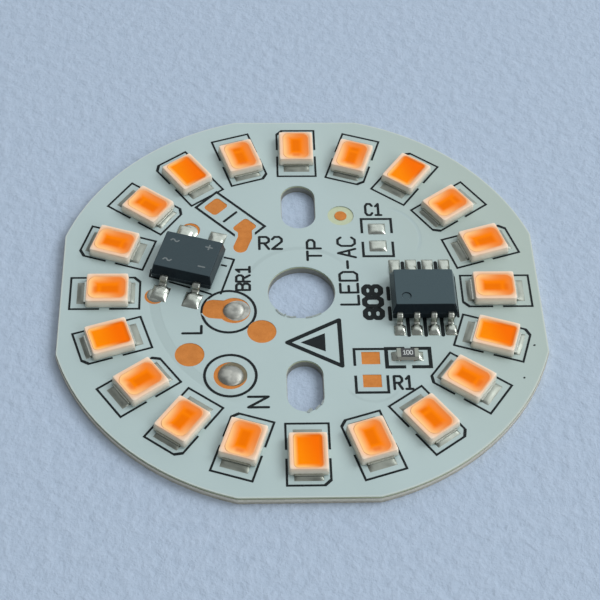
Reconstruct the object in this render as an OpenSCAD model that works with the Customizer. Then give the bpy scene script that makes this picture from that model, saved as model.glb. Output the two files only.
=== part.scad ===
// Driver-on-board LED module: a round metal-core board with a ring of LED packages,
// a bridge rectifier, a driver chip and a chip resistor.
// Millimetres. Origin on the centre hole's axis at the board's back face, +Z out of the lit side,
// +X towards the driver chip, +Y away from the wire pads.

/* [Board] */
// Diameter of the round board
board_d = 38.0; // [36:0.5:50]
// How far each side flat (left and right) cuts into the circle
flat_depth_x = 0.9; // [0.3:0.05:1.5]
// How far each end flat (top and bottom) cuts into the circle
flat_depth_y = 0.65; // [0.3:0.05:1.5]
// Thickness of the aluminium base plate
plate_t = 0.5; // [0.4:0.05:1.6]
// Thickness of the dielectric glue layer
dielectric_t = 0.12; // [0.08:0.01:0.15]
// Thickness of the copper foil
copper_t = 0.035; // [0.018:0.001:0.07]
// Thickness of the solder mask over the copper
mask_over = 0.025; // [0.015:0.005:0.05]
// Thickness of the printed legend
ink_t = 0.015; // [0.01:0.005:0.03]
// How far the dielectric and the mask stop short of the plate's edges
layer_pullback = 0.05; // [0.02:0.01:0.2]

/* [Holes] */
// Diameter of the centre hole
centre_hole_d = 5.0; // [3:0.1:6]
// Width of the two screw slots
slot_w = 2.6; // [2:0.1:3.4]
// End-to-end length of the two screw slots
slot_l = 4.5; // [3.6:0.1:5.4]
// Distance between the middles of the two slots
slot_spacing = 17.6; // [15:0.1:20]

/* [LED ring] */
// Number of LED packages
led_n = 20; // [8:2:22]
// Clearance from the printed LED box to the side flat
led_edge_margin = 0.75; // [0.5:0.05:1.5]
// How far each LED sits towards the marked end of its box
led_shift = 0.18; // [0:0.02:0.3]
// Gap between the copper islands of the ring
island_gap = 0.6; // [0.3:0.05:1]
// Gap between the two copper pads under one LED
led_pad_gap = 1.0; // [0.6:0.1:1.4]

/* [LED package] */
// Length of the moulded LED housing
led_l = 3.2; // [2.6:0.1:3.8]
// Width of the moulded LED housing
led_w = 2.8; // [2.2:0.1:3.2]
// Height of the LED housing
led_h = 0.7; // [0.6:0.05:1]
// Draft inset of each outer wall at the top
led_draft = 0.06; // [0.02:0.01:0.12]
// Rim between the window and the two ends
led_rim_end = 0.13; // [0.1:0.01:0.3]
// Rim between the window and the two sides
led_rim_side = 0.3; // [0.15:0.01:0.45]
// Slope of the cup: inset of its floor from the window
led_cup_slope = 0.2; // [0.1:0.02:0.3]
// Corner radius of the window
led_window_r = 0.56; // [0.3:0.02:0.7]
// One LED in this many has a deeper orange filling in a window with tighter corners
deep_every = 4; // [2:1:5]
// Corner radius of the window of the deeper orange LEDs
deep_window_r = 0.3; // [0.1:0.02:0.5]
// Depth of the phosphor surface below the rim
phosphor_drop = 0.03; // [0.02:0.01:0.08]
// Thickness of the tinned lead plates
led_lead_t = 0.18; // [0.12:0.02:0.22]
// Width of the lead plates
led_lead_w = 2.0; // [1.4:0.1:2.1]
// How far the lead plates stand out of each end
led_lead_out = 0.15; // [0.05:0.05:0.3]
// Slit between the two lead plates
led_lead_slit = 0.3; // [0.2:0.05:0.4]
// Distance from the housing's middle to the slit, towards the plain end
led_slit_off = 0.6; // [0.5:0.05:0.8]
// Length of the soldered foot of each lead plate
led_foot = 0.7; // [0.4:0.05:0.8]
// Solder length beyond the marked-end lead
led_pad_marked = 0.28; // [0.15:0.02:0.35]
// Solder length beyond the plain-end lead
led_pad_plain = 0.5; // [0.3:0.02:0.6]

/* [LED chip] */
// Length of the LED chip
chip_l = 1.2; // [0.8:0.1:1.3]
// Width of the LED chip
chip_w = 0.6; // [0.3:0.05:0.9]
// Thickness of the LED chip
chip_t = 0.12; // [0.08:0.01:0.15]
// Diameter of the bond wires
wire_d = 0.03; // [0.02:0.005:0.05]
// Distance from the chip to the edge of its lead plate
chip_edge = 0.2; // [0.02:0.02:0.22]
// Distance from a wire's ends to the edges of what they are bonded to
wire_inset = 0.08; // [0.05:0.01:0.15]

/* [Bridge rectifier] */
// Distance from the LED boxes to the rectifier's middle
bridge_inset = 3.62; // [3.2:0.02:4]
// Rectifier's middle along Y
bridge_y = 2.65; // [2:0.05:3.5]
// Turn of the rectifier, clockwise
bridge_turn = 16.5; // [0:0.5:30]
// Width of the rectifier body between its lead rows
bridge_w = 3.9; // [3.2:0.1:4.2]
// Height of the rectifier body
bridge_h = 1.35; // [1:0.05:1.6]
// Height of the rectifier's mould line above its underside
bridge_waist = 0.5; // [0.4:0.05:0.7]
// Draft inset of the rectifier body at the top
bridge_draft = 0.18; // [0.05:0.01:0.25]
// Distance between neighbouring leads
bridge_pitch = 2.54; // [2:0.02:2.8]
// Distance from a lead's middle to the body's end
bridge_end = 1.12; // [0.8:0.02:1.4]
// Width of each lead
bridge_lead_w = 0.6; // [0.4:0.05:0.9]
// How far the feet reach out of the body
bridge_reach = 1.35; // [1.1:0.05:1.6]
// Distance from the rectifier's middle to the end of its pads
bridge_pad_end = 3.9; // [3.7:0.05:4.2]
// Solder width on each side of a lead
bridge_solder_side = 0.33; // [0.1:0.01:0.4]

/* [Driver chip] */
// Gap between the LED boxes and the driver body
driver_gap = 0.6; // [0.3:0.05:1]
// Middle of the driver's pads along Y
driver_y = -0.55; // [-1:0.05:0.5]
// How far the driver has slipped off the middle of its pads, towards the wire pads' side
driver_slip = 0.3; // [0:0.05:0.35]
// Width of the driver body between its lead rows
driver_w = 3.9; // [3.4:0.1:4.1]
// Height of the driver body
driver_h = 1.45; // [1.2:0.05:1.75]
// Height of the driver's mould line above its underside
driver_waist = 0.68; // [0.5:0.02:0.8]
// Draft inset of the driver body at the top
driver_draft = 0.25; // [0.05:0.01:0.35]
// Leads on each side
driver_side_leads = 4; // [2:1:4]
// Distance between neighbouring leads
driver_pitch = 1.27; // [1.1:0.01:1.4]
// Distance from the last lead's middle to the body's end
driver_end = 0.545; // [0.4:0.01:0.7]
// Width of each lead
driver_lead_w = 0.46; // [0.3:0.02:0.5]
// How far the feet reach out of the body
driver_reach = 1.1; // [0.95:0.05:1.2]
// Distance from the middle of the pads to their ends
driver_pad_end = 3.7; // [3.6:0.05:4]
// Solder width on each side of a lead
driver_solder_side = 0.18; // [0.05:0.01:0.2]
// Diameter of the pin-one dimple
dimple_d = 0.72; // [0.4:0.02:1]
// Depth of the pin-one dimple
dimple_depth = 0.08; // [0.04:0.01:0.15]
// Distance from the driver's sides to the dimple's middle
dimple_inset = 1.05; // [0.9:0.05:1.4]

/* [Leads and solder] */
// Thickness of the bent leads
lead_t = 0.2; // [0.15:0.01:0.25]
// Inside radius of the lead bends
lead_bend_r = 0.13; // [0.08:0.01:0.16]
// How deep the leads are moulded into their body
lead_embed = 0.5; // [0.3:0.05:0.8]
// Gap under the black bodies
standoff = 0.1; // [0.06:0.01:0.2]
// Draft inset of the black bodies at the bottom
body_draft = 0.07; // [0.04:0.01:0.15]
// Gap between the mask and the feet that stand on solder
seat_gap = 0.025; // [0.02:0.005:0.06]
// Clearance between solder and the mask around it
solder_clear = 0.03; // [0.02:0.005:0.06]

/* [Chip resistor] */
// Resistor's middle from the middle of the driver's pads, along X
resistor_dx = -1.55; // [-2:0.05:-1.2]
// Resistor's middle from the middle of the driver's pads, along Y
resistor_dy = -5.67; // [-6:0.01:-5.4]
// Length of the resistor
resistor_l = 1.6; // [1.4:0.05:2]
// Width of the resistor
resistor_w = 0.8; // [0.7:0.05:1.1]
// Height of the resistor
resistor_h = 0.45; // [0.35:0.05:0.6]
// Length of each end cap
resistor_cap = 0.3; // [0.2:0.05:0.4]
// Plating thickness of the end caps
resistor_plate = 0.03; // [0.02:0.005:0.05]
// Solder length beyond each end cap
resistor_toe = 0.35; // [0.2:0.05:0.45]
// How high the solder climbs the end caps
resistor_climb = 0.36; // [0.2:0.02:0.44]

/* [Pads] */
// Width of the copper border hidden by the mask round an opening
pad_border = 0.12; // [0.05:0.01:0.2]
// Length of the empty component pads
pad_l = 1.36; // [1:0.02:1.5]
// Width of the empty component pads
pad_w = 1.15; // [0.8:0.05:1.3]
// Height of the solder bumps on the capacitor pads
bump_h = 0.22; // [0.15:0.01:0.3]
// Diameter of the bare copper dots
dot_d = 2.17; // [1.6:0.01:2.4]
// Diameter of the round opening at each wire pad
wire_pad_d = 2.45; // [2:0.05:2.8]
// Diameter of the solder dome on the neutral wire pad
neutral_dome_d = 1.9; // [1.2:0.02:2]
// Diameter of the solder dome on the line wire pad
line_dome_d = 1.7; // [1.2:0.02:2]
// Height of the solder domes on the wire pads
wire_dome_h = 0.3; // [0.2:0.05:0.5]
// Diameter of the bare copper at the corner of two of the rectifier's pads
spill_d = 1.5; // [1.2:0.1:1.7]
// How far that bare copper shows past the pad's edges
spill_over = 0.42; // [0.2:0.02:0.5]
// Width of the copper crescent that the solder leaves bare there
spill_bare = 0.22; // [0.1:0.02:0.4]
// Corner radius of the empty pads beside the rectifier
r2_pad_r = 0.3; // [0.1:0.05:0.5]
// Diameter of the fiducial dot
fiducial_d = 0.95; // [0.6:0.05:1.2]
// Diameter of the mask opening round the fiducial
fiducial_ring_d = 2.05; // [1.6:0.05:2.4]
// Width of the copper tracks
track_w = 0.9; // [0.5:0.1:1.1]

/* [Legend] */
// Line width of the LED boxes
ink_w = 0.16; // [0.1:0.01:0.2]
// Line width of the brackets and rings
ink_mid_w = 0.2; // [0.14:0.01:0.24]
// Line width of the bold component marks
ink_bold_w = 0.28; // [0.2:0.01:0.34]
// Space between the LED housing's end and its printed box
box_end = 1.0; // [0.8:0.05:1.2]
// Space between the LED housing's side and its printed box
box_side = 0.05; // [0.04:0.01:0.2]
// Chamfer on the marked corner of a box
box_chamfer = 0.45; // [0.2:0.05:0.7]
// Gap in the middle of a box's long sides
box_gap = 0.75; // [0.4:0.05:1]
// Space between an empty place's pads and its bracket
bracket_margin = 0.48; // [0.3:0.02:0.6]
// Gap in the long sides of a bracket
bracket_gap = 0.9; // [0.5:0.05:1.1]
// Diameter of the printed ring at the line wire pad
line_ring_d = 4.0; // [3.6:0.05:4.3]
// Diameter of the printed ring at the neutral wire pad
neutral_ring_d = 3.75; // [3.4:0.05:4]

/* [Hidden] */
$fn = 48;
tiny = 0.01;

// Places on the middle of the board: empty capacitor and resistor places, wire pads, copper dots
c1_at = [6.07, 5.5];
c1_span = 1.78;
r1_at = [4.86, -7.39];
r1_span = 2.09;
r1_mark_at = [4.83, -7.5];
r1_mark_span = 1.85;
r2_at = [-5.35, 7.75];
r2_span = 3.15;
r2_turn = -44.5;
r2_pad_l = 1.3;
r2_pad_w = 1.55;
r2_tail = [[-4.2, 5.6], [-4.57, 4.55]];
r2_tail_w = 1.1;
line_at = [-5.1, -1.75];
line_ring_at = [-5.48, -1.86];
line_tail = [-6.65, -1.6];
line_tail_w = 1.8;
neutral_at = [-5.38, -7.84];
dots_at = [[-3.05, -3.78], [-8.35, -5.9]];
fiducial_at = [3.32, 7.84];
resistor_mark_off = [0.07, -0.12];
bridge_mark_out = 0.75;
bridge_mark_in = 0.35;

// Heights of the layers, from the back face up
dielectric_z = plate_t;
copper_z = dielectric_z + dielectric_t;
copper_top = copper_z + copper_t;
mask_top = copper_top + mask_over;
seat_z = mask_top + seat_gap;
solder_t = seat_z - copper_top;

// LED ring and the parts that line up with it
led_pitch = 360 / led_n;
box_l = led_l + 2 * box_end;
box_w = led_w + 2 * box_side + ink_w;
ring_r = board_d / 2 - flat_depth_x - led_edge_margin - box_l / 2;
ring_in = ring_r - box_l / 2;
driver_l = (driver_side_leads - 1) * driver_pitch + 2 * driver_end;
driver_pads_at = [ring_in - driver_gap - driver_l / 2, driver_y];
driver_at = driver_pads_at - [0, driver_slip];
bridge_l = bridge_pitch + 2 * bridge_end;
bridge_at = [-(ring_in - bridge_inset), bridge_y];
resistor_at = driver_pads_at + [resistor_dx, resistor_dy];

// LED package, about the housing's own middle
window_l = led_l - 2 * (led_draft + led_rim_end);
window_w = led_w - 2 * (led_draft + led_rim_side);
lead_end = led_l / 2 + led_lead_out;
slit_hi = -led_slit_off + led_lead_slit / 2;
slit_lo = -led_slit_off - led_lead_slit / 2;
chip_x = slit_hi + chip_edge + chip_l / 2;
chip_top = led_lead_t + chip_t;
plain_wire_r = (led_lead_slit + chip_edge) / 2 + wire_inset;
marked_wire_r = (window_l / 2 - led_cup_slope - chip_x - chip_l / 2) / 2;

LED_NAMES = [for (i = [1:led_n]) str(i < 10 ? "0" : "", i)];

// Plain 2-D strokes

module strip(a, b, w) {
    along = b - a;
    translate(a)
        rotate(atan2(along[1], along[0])) {
            translate([0, -w / 2])
                square([norm(along), w]);
            circle(d = w);
            translate([norm(along), 0])
                circle(d = w);
        }
}

module polyline(points, w) {
    for (k = [0:len(points) - 2])
        strip(points[k], points[k + 1], w);
}

module ring(d, w) {
    difference() {
        circle(d = d + w);
        circle(d = d - w);
    }
}

module pad(l, w, grow = 0) {
    square([l + 2 * grow, w + 2 * grow], center = true);
}

module round_pad(l, w, r) {
    pad(l - 2 * r, w);
    pad(l, w - 2 * r);
    for (x = [-1, 1], y = [-1, 1])
        translate([x * (l / 2 - r), y * (w / 2 - r)])
            circle(r = r);
}

// Sector of a flat ring, from angle a0 to a1, with the gap taken off both straight ends
module sector(r0, r1, a0, a1, gap) {
    reach = 2 * r1;
    difference() {
        intersection() {
            difference() {
                circle(r = r1);
                circle(r = r0);
            }
            polygon([[0, 0], reach * [cos(a0), sin(a0)], reach * [cos(a1), sin(a1)]]);
        }
        rotate(a0)
            translate([0, -gap / 2])
                square([reach, gap]);
        rotate(a1)
            translate([0, -gap / 2])
                square([reach, gap]);
    }
}

// Board outline and its layers

module board_outline(inset = 0) {
    half_x = board_d / 2 - flat_depth_x - inset;
    half_y = board_d / 2 - flat_depth_y - inset;
    difference() {
        intersection() {
            circle(d = board_d - 2 * inset, $fn = 180);
            square([2 * half_x, 2 * half_y], center = true);
        }
        circle(d = centre_hole_d + 2 * inset);
        for (side = [-1, 1])
            translate([0, side * slot_spacing / 2])
                slot(slot_w + 2 * inset, slot_l + 2 * inset);
    }
}

module slot(w, l) {
    straight = (l - w) / 2;
    strip([0, -straight], [0, straight], w);
}

module base_plate() {
    color("silver")
        linear_extrude(plate_t)
            board_outline();
}

module dielectric_layer() {
    color("darkseagreen")
        translate([0, 0, dielectric_z])
            linear_extrude(dielectric_t)
                board_outline(layer_pullback);
}

module copper_layer() {
    color("peru")
        translate([0, 0, copper_z])
            linear_extrude(copper_t)
                copper_pattern();
}

module solder_mask() {
    color("whitesmoke")
        translate([0, 0, copper_z])
            difference() {
                linear_extrude(copper_t + mask_over)
                    difference() {
                        board_outline(layer_pullback);
                        mask_openings();
                    }
                translate([0, 0, -tiny])
                    linear_extrude(copper_t + tiny)
                        copper_pattern();
            }
}

module silkscreen_legend() {
    color("black")
        translate([0, 0, mask_top])
            linear_extrude(ink_t)
                difference() {
                    legend_marks();
                    mask_openings();
                }
}

module legend_marks() {
    for (i = [0:led_n - 1])
        at_led(i)
            led_box();
    bridge_marks();
    driver_marks();
    resistor_marks();
    spare_marks();
    wire_marks();
}

// Copper: two rows of ring islands, and the pads and tracks in the middle

module copper_pattern() {
    r_in = ring_in + island_inset();
    r_out = ring_r + box_l / 2 - island_inset();
    difference() {
        for (k = [0:led_n / 2 - 1]) {
            outer_at = 90 - led_pitch * (2 * k + 0.5);
            inner_at = 90 - led_pitch * (2 * k + 1.5);
            sector(ring_r + led_pad_gap / 2, r_out, outer_at - led_pitch, outer_at + led_pitch, island_gap);
            sector(r_in, ring_r - led_pad_gap / 2, inner_at - led_pitch, inner_at + led_pitch, island_gap);
        }
        rotate(90 + led_pitch / 2)
            translate([0, -island_gap / 2])
                square([ring_r, island_gap]);
    }
    pad_openings(pad_border);
    tracks();
}

function island_inset() = (box_l / 2 - led_shift - lead_end - led_pad_marked) / 2;

module tracks() {
    polyline(concat([r2_end(1)], r2_tail), r2_tail_w + 2 * pad_border);
    strip(line_at, line_tail, line_tail_w + 2 * pad_border);
    strip(neutral_at, dots_at[1], track_w);
    strip(line_at, dots_at[0], track_w);
    strip(r1_at + [0, r1_span / 2], resistor_at - [resistor_l / 2, 0], track_w);
    translate(fiducial_at)
        circle(d = fiducial_d);
}

function r2_end(side) = r2_at + side * r2_span / 2 * [cos(r2_turn), sin(r2_turn)];

// Openings over the pads; grow gives the copper that runs on under their edges
module pad_openings(grow = 0) {
    for (side = [-1, 1]) {
        translate(c1_at + [0, side * c1_span / 2])
            pad(pad_l, pad_w, grow);
        translate(r1_at + [0, side * r1_span / 2])
            pad(pad_l, pad_w, grow);
        translate(r2_end(side))
            rotate(r2_turn)
                round_pad(r2_pad_l + 2 * grow, r2_pad_w + 2 * grow, r2_pad_r + grow);
    }
    at_bridge_leads() {
        foot_pad(bridge_toe(), bridge_reach, bridge_lead_w + 2 * bridge_solder_side, grow);
        if (2 * $lead == 1 + $row)
            bare_spill(grow);
    }
    at_driver_leads()
        foot_pad(driver_toe($row), driver_reach, driver_lead_w + 2 * driver_solder_side, grow);
    at_resistor_ends()
        resistor_pad(grow);
    for (place = dots_at)
        translate(place)
            circle(d = dot_d + 2 * grow);
    for (place = [line_at, neutral_at])
        translate(place)
            circle(d = wire_pad_d + 2 * grow);
}

module mask_openings() {
    pad_openings();
    for (i = [0:led_n - 1])
        at_led(i)
            led_pads();
    translate(fiducial_at)
        circle(d = fiducial_ring_d);
    polyline(concat([r2_end(1)], r2_tail), r2_tail_w);
    strip(line_at, line_tail, line_tail_w);
}

// Places

// Frame of one LED's printed box; every second LED is turned end for end
module at_led(i) {
    rotate(90 - led_pitch * i)
        translate([ring_r, 0])
            rotate(i % 2 == 0 ? 0 : 180)
                children();
}

// Frame of one LED's housing on its seat
module at_housing(i) {
    translate([0, 0, seat_z])
        at_led(i)
            translate([led_shift, 0])
                children();
}

module at_bridge() {
    translate(bridge_at)
        rotate(-bridge_turn)
            children();
}

// Frame of each lead: its origin at the body's side, X pointing out
module at_bridge_leads() {
    at_bridge()
        lead_rows(2, bridge_pitch, bridge_w)
            children();
}

module at_driver_leads() {
    translate(driver_at)
        lead_rows(driver_side_leads, driver_pitch, driver_w)
            children();
}

// Two rows of leads; $row is the side, $lead counts along the row, clockwise round the body
module lead_rows(count, pitch, body_w) {
    for ($row = [-1, 1], $lead = [0:count - 1])
        translate([$row * ($lead - (count - 1) / 2) * -pitch, $row * body_w / 2])
            rotate($row * 90)
                children();
}

module at_resistor_ends() {
    translate(resistor_at)
        for (turn = [0, 180])
            rotate(turn)
                translate([resistor_l / 2, 0])
                    children();
}

// Pads of one LED, of a bent lead and of a resistor end

module led_pads() {
    w = led_lead_w + 2 * solder_clear;
    translate([led_shift + lead_end - led_foot - solder_clear, -w / 2])
        square([led_foot + led_pad_marked + 2 * solder_clear, w]);
    translate([led_shift - lead_end - led_pad_plain - solder_clear, -w / 2])
        square([led_foot + led_pad_plain + 2 * solder_clear, w]);
}

// Solder length beyond a foot, up to the end of its pad
function bridge_toe() = bridge_pad_end - bridge_w / 2 - bridge_reach;
function driver_toe(row) = driver_pad_end - driver_w / 2 - driver_reach + row * driver_slip;

module foot_pad(toe, reach, solder_w, grow = 0) {
    w = solder_w + 2 * (solder_clear + grow);
    start = foot_start() - solder_clear - grow;
    translate([start, -w / 2])
        square([reach + toe + solder_clear + grow - start, w]);
}

// Round of bare copper that shows at the corner of a rectifier pad
module bare_spill(grow) {
    at_spill()
        circle(d = spill_d + 2 * grow);
}

module at_spill() {
    back = spill_d / 2 - spill_over;
    pad_half = bridge_lead_w / 2 + bridge_solder_side;
    translate([bridge_reach + bridge_toe() - back, back - pad_half])
        children();
}

module resistor_pad(grow = 0) {
    w = resistor_w + 2 * (solder_clear + grow);
    l = resistor_cap + resistor_toe + 2 * (solder_clear + grow);
    translate([-resistor_cap - solder_clear - grow, -w / 2])
        square([l, w]);
}

// LED package

module led_housing(i) {
    color("ivory")
        at_housing(i)
            difference() {
                drafted_block(led_l, led_w, led_h, led_draft);
                led_cup(i);
                led_plate(slit_hi, lead_end + tiny);
                led_plate(-lead_end - tiny, slit_lo);
            }
}

// Block whose four walls lean in towards the top
module drafted_block(l, w, h, draft) {
    intersection() {
        rotate([90, 0, 0])
            linear_extrude(w + 2 * draft, center = true)
                polygon([[-l / 2, 0], [l / 2, 0], [l / 2 - draft, h], [-l / 2 + draft, h]]);
        rotate([90, 0, 90])
            linear_extrude(l + 2 * draft, center = true)
                polygon([[-w / 2, 0], [w / 2, 0], [w / 2 - draft, h], [-w / 2 + draft, h]]);
    }
}

// Sloped cup over the lead plates
module led_cup(i) {
    hull() {
        translate([0, 0, led_lead_t])
            linear_extrude(tiny)
                window(i, led_cup_slope);
        translate([0, 0, led_h])
            linear_extrude(tiny)
                window(i, 0);
    }
}

function is_deep(i) = i % deep_every == floor(deep_every / 2);

// Round corners of one LED's window, no rounder than the cup's floor has room for
module window(i, inset) {
    r = min(is_deep(i) ? deep_window_r : led_window_r, window_w / 2 - led_cup_slope);
    x = window_l / 2 - inset - r;
    y = window_w / 2 - inset - r;
    for (corner = [[-x, -y], [-x, y], [x, -y], [x, y]])
        translate(corner)
            circle(r = r, $fn = 32);
}

module led_plate(x0, x1) {
    translate([x0, -led_lead_w / 2, 0])
        cube([x1 - x0, led_lead_w, led_lead_t]);
}

module led_marked_leads() {
    color("silver")
        for (i = [0:led_n - 1])
            at_housing(i)
                led_plate(slit_hi, lead_end);
}

module led_plain_leads() {
    color("silver")
        for (i = [0:led_n - 1])
            at_housing(i)
                led_plate(-lead_end, slit_lo);
}

module led_phosphor(i) {
    color("darkorange")
        at_housing(i)
            difference() {
                led_cup(i);
                led_chip();
                bond_wires();
                translate([0, 0, led_h - phosphor_drop])
                    linear_extrude(led_h)
                        pad(led_l, led_w);
            }
}

module led_chip() {
    translate([chip_x - chip_l / 2, -chip_w / 2, led_lead_t])
        cube([chip_l, chip_w, chip_t]);
}

module led_chips() {
    color("saddlebrown")
        for (i = [0:led_n - 1])
            at_housing(i)
                led_chip();
}

// Each wire loops from the chip's end down to the lead plate beside it
module bond_wires() {
    bond_wire(chip_x - chip_l / 2 + wire_inset, -1, plain_wire_r);
    bond_wire(chip_x + chip_l / 2 - wire_inset, 1, marked_wire_r);
}

module bond_wire(x, way, r) {
    translate([x + way * r, 0, chip_top])
        rotate([90, 0, 0])
            rotate_extrude(angle = 180)
                translate([r, 0])
                    circle(d = wire_d);
    translate([x + way * 2 * r, 0, led_lead_t])
        cylinder(d = wire_d, h = chip_t);
}

module led_bond_wires() {
    color("gold")
        for (i = [0:led_n - 1])
            at_housing(i)
                bond_wires();
}

module led_solder() {
    color("darkgray")
        for (i = [0:led_n - 1])
            at_housing(i) {
                translate([lead_end, 0])
                    solder_fillet(led_foot, led_pad_marked, led_lead_w, led_lead_t);
                translate([-lead_end, 0])
                    rotate(180)
                        solder_fillet(led_foot, led_pad_plain, led_lead_w, led_lead_t);
            }
}

// Solder bed under a foot that ends at X = 0, with a hollow fillet climbing the foot's end
module solder_fillet(foot, toe, w, climb) {
    rotate([90, 0, 0])
        linear_extrude(w, center = true) {
            translate([-foot, -solder_t])
                square([foot + toe, solder_t]);
            hollow_fillet(toe, climb);
        }
}

// Concave corner fill, its arc through the two far corners of a toe by climb rectangle
module hollow_fillet(toe, climb) {
    r = (toe * toe + climb * climb) / (2 * min(toe, climb));
    centre = toe > climb ? [toe, r] : [r, climb];
    difference() {
        square([toe, climb]);
        translate(centre)
            circle(r = r, $fn = 96);
    }
}

// Black bodies with bent leads

module moulded_body(l, w, h, waist, draft) {
    translate([0, 0, seat_z + standoff])
        intersection() {
            rotate([90, 0, 0])
                linear_extrude(w, center = true)
                    waisted(l, h, waist, draft);
            rotate([90, 0, 90])
                linear_extrude(l, center = true)
                    waisted(w, h, waist, draft);
        }
}

// Side view of a moulded body: widest at the waist, where the mould halves meet
module waisted(l, h, waist, draft) {
    half = l / 2;
    foot = half - body_draft;
    tip = half - draft;
    polygon([[-foot, 0], [foot, 0], [half, waist], [tip, h], [-tip, h], [-half, waist]]);
}

function foot_start() = shoulder() + 2 * lead_bend_r + lead_t;
function shoulder() = lead_t / 2;

// Bent lead: out of the body, down and out again to its foot on the seat
module gull_wing(reach, exit_z, w) {
    rise = exit_z - lead_t / 2 - lead_bend_r;
    knee = lead_bend_r + lead_t;
    translate([0, 0, seat_z])
        rotate([90, 0, 0])
            linear_extrude(w, center = true) {
                translate([-lead_embed, exit_z - lead_t / 2])
                    square([lead_embed + shoulder(), lead_t]);
                translate([shoulder(), rise])
                    quarter_bend();
                translate([shoulder() + lead_bend_r, knee])
                    square([lead_t, rise - knee]);
                translate([foot_start(), knee])
                    rotate(180)
                        quarter_bend();
                translate([foot_start(), 0])
                    square([reach - foot_start(), lead_t]);
            }
}

module quarter_bend() {
    difference() {
        intersection() {
            circle(r = lead_bend_r + lead_t);
            square(lead_bend_r + lead_t);
        }
        circle(r = lead_bend_r);
    }
}

module bridge_body() {
    color("dimgray")
        difference() {
            at_bridge()
                moulded_body(bridge_l, bridge_w, bridge_h, bridge_waist, bridge_draft);
            bridge_lead_set();
        }
}

module bridge_lead_set() {
    at_bridge_leads()
        gull_wing(bridge_reach, standoff + bridge_waist, bridge_lead_w);
}

module bridge_leads() {
    color("lightgray")
        bridge_lead_set();
}

module driver_body() {
    color("dimgray")
        difference() {
            translate(driver_at)
                moulded_body(driver_l, driver_w, driver_h, driver_waist, driver_draft);
            driver_lead_set();
            translate([
                driver_at[0] - driver_l / 2 + dimple_inset,
                driver_at[1] - driver_w / 2 + dimple_inset,
                seat_z + standoff + driver_h - dimple_depth
            ])
                cylinder(d = dimple_d, h = dimple_depth + tiny);
        }
}

module driver_lead_set() {
    at_driver_leads()
        gull_wing(driver_reach, standoff + driver_waist, driver_lead_w);
}

module driver_leads() {
    color("lightgray")
        driver_lead_set();
}

// Chip resistor

module resistor_body() {
    color("white")
        translate([resistor_at[0], resistor_at[1], seat_z + resistor_plate])
            linear_extrude(resistor_h - 2 * resistor_plate)
                pad(resistor_l - 2 * resistor_plate, resistor_w);
}

module resistor_film() {
    color("black")
        translate([resistor_at[0], resistor_at[1], seat_z + resistor_h - resistor_plate])
            linear_extrude(resistor_plate)
                pad(resistor_l - 2 * resistor_cap, resistor_w);
}

// Plated end caps, wrapped round each end of the ceramic
module resistor_caps() {
    color("silver")
        translate([0, 0, seat_z])
            at_resistor_ends()
                rotate([90, 0, 0])
                    linear_extrude(resistor_w, center = true)
                        cap_side();
}

// Side view of one end cap: a shallow U whose open side holds the ceramic
module cap_side() {
    difference() {
        translate([-resistor_cap, 0])
            square([resistor_cap, resistor_h]);
        translate([-resistor_cap - tiny, resistor_plate])
            square([resistor_cap + tiny - resistor_plate, resistor_h - 2 * resistor_plate]);
    }
}

// Solder on the component pads and the wire pads

module component_solder() {
    color("darkgray") {
        at_bridge_leads() {
            foot_solder(bridge_toe(), bridge_reach, bridge_lead_w + 2 * bridge_solder_side);
            if (2 * $lead == 1 + $row)
                at_spill()
                    solder_dome(spill_d - 2 * spill_bare, solder_t);
        }
        at_driver_leads()
            foot_solder(driver_toe($row), driver_reach, driver_lead_w + 2 * driver_solder_side);
        at_resistor_ends()
            translate([0, 0, seat_z])
                solder_fillet(resistor_cap, resistor_toe, resistor_w, resistor_climb);
        for (side = [-1, 1])
            translate(c1_at + [0, side * c1_span / 2])
                solder_bump(pad_l - 2 * solder_clear, pad_w - 2 * solder_clear, bump_h);
    }
}

module foot_solder(toe, reach, w) {
    translate([reach, 0, seat_z])
        solder_fillet(reach - foot_start(), toe, w, lead_t);
}

// Pillow of solder on a bare pad, crowned both ways
module solder_bump(l, w, h) {
    r_l = (l * l / 4 + h * h) / (2 * h);
    r_w = (w * w / 4 + h * h) / (2 * h);
    translate([0, 0, copper_top])
        intersection() {
            translate([-l / 2, -w / 2, 0])
                cube([l, w, h]);
            translate([0, 0, h - r_l])
                rotate([90, 0, 0])
                    cylinder(r = r_l, h = w + 2 * tiny, center = true);
            translate([0, 0, h - r_w])
                rotate([0, 90, 0])
                    cylinder(r = r_w, h = l + 2 * tiny, center = true);
        }
}

module wire_pad_solder() {
    color("darkgray") {
        translate(line_at)
            solder_dome(line_dome_d, wire_dome_h);
        translate(neutral_at)
            solder_dome(neutral_dome_d, wire_dome_h);
    }
}

// Round cap of solder
module solder_dome(d, h) {
    r = (d * d / 4 + h * h) / (2 * h);
    translate([0, 0, copper_top])
        intersection() {
            cylinder(d = d, h = h);
            translate([0, 0, h - r])
                sphere(r = r);
        }
}

// Printed outlines

module led_box() {
    difference() {
        box_outline(ink_w / 2);
        box_outline(-ink_w / 2);
        square([box_gap, 2 * box_w], center = true);
    }
}

module box_outline(grow) {
    x = box_l / 2 + grow;
    y = box_w / 2 + grow;
    polygon([[-x, -y], [x, -y], [x, y - box_chamfer], [x - box_chamfer, y], [-x, y]]);
}

// Open bracket round the right end of the rectifier, with a short tick inside
module bridge_marks() {
    x = bridge_l / 2 + bridge_mark_out;
    y = bridge_w / 2 - bridge_mark_in;
    at_bridge() {
        polyline([[bridge_l / 2, y], [x, y], [x, -bridge_w / 2]], ink_w);
        strip([bridge_l / 2, y / 2], [bridge_l / 2 + bridge_mark_in, y / 2], ink_w);
    }
}

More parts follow.
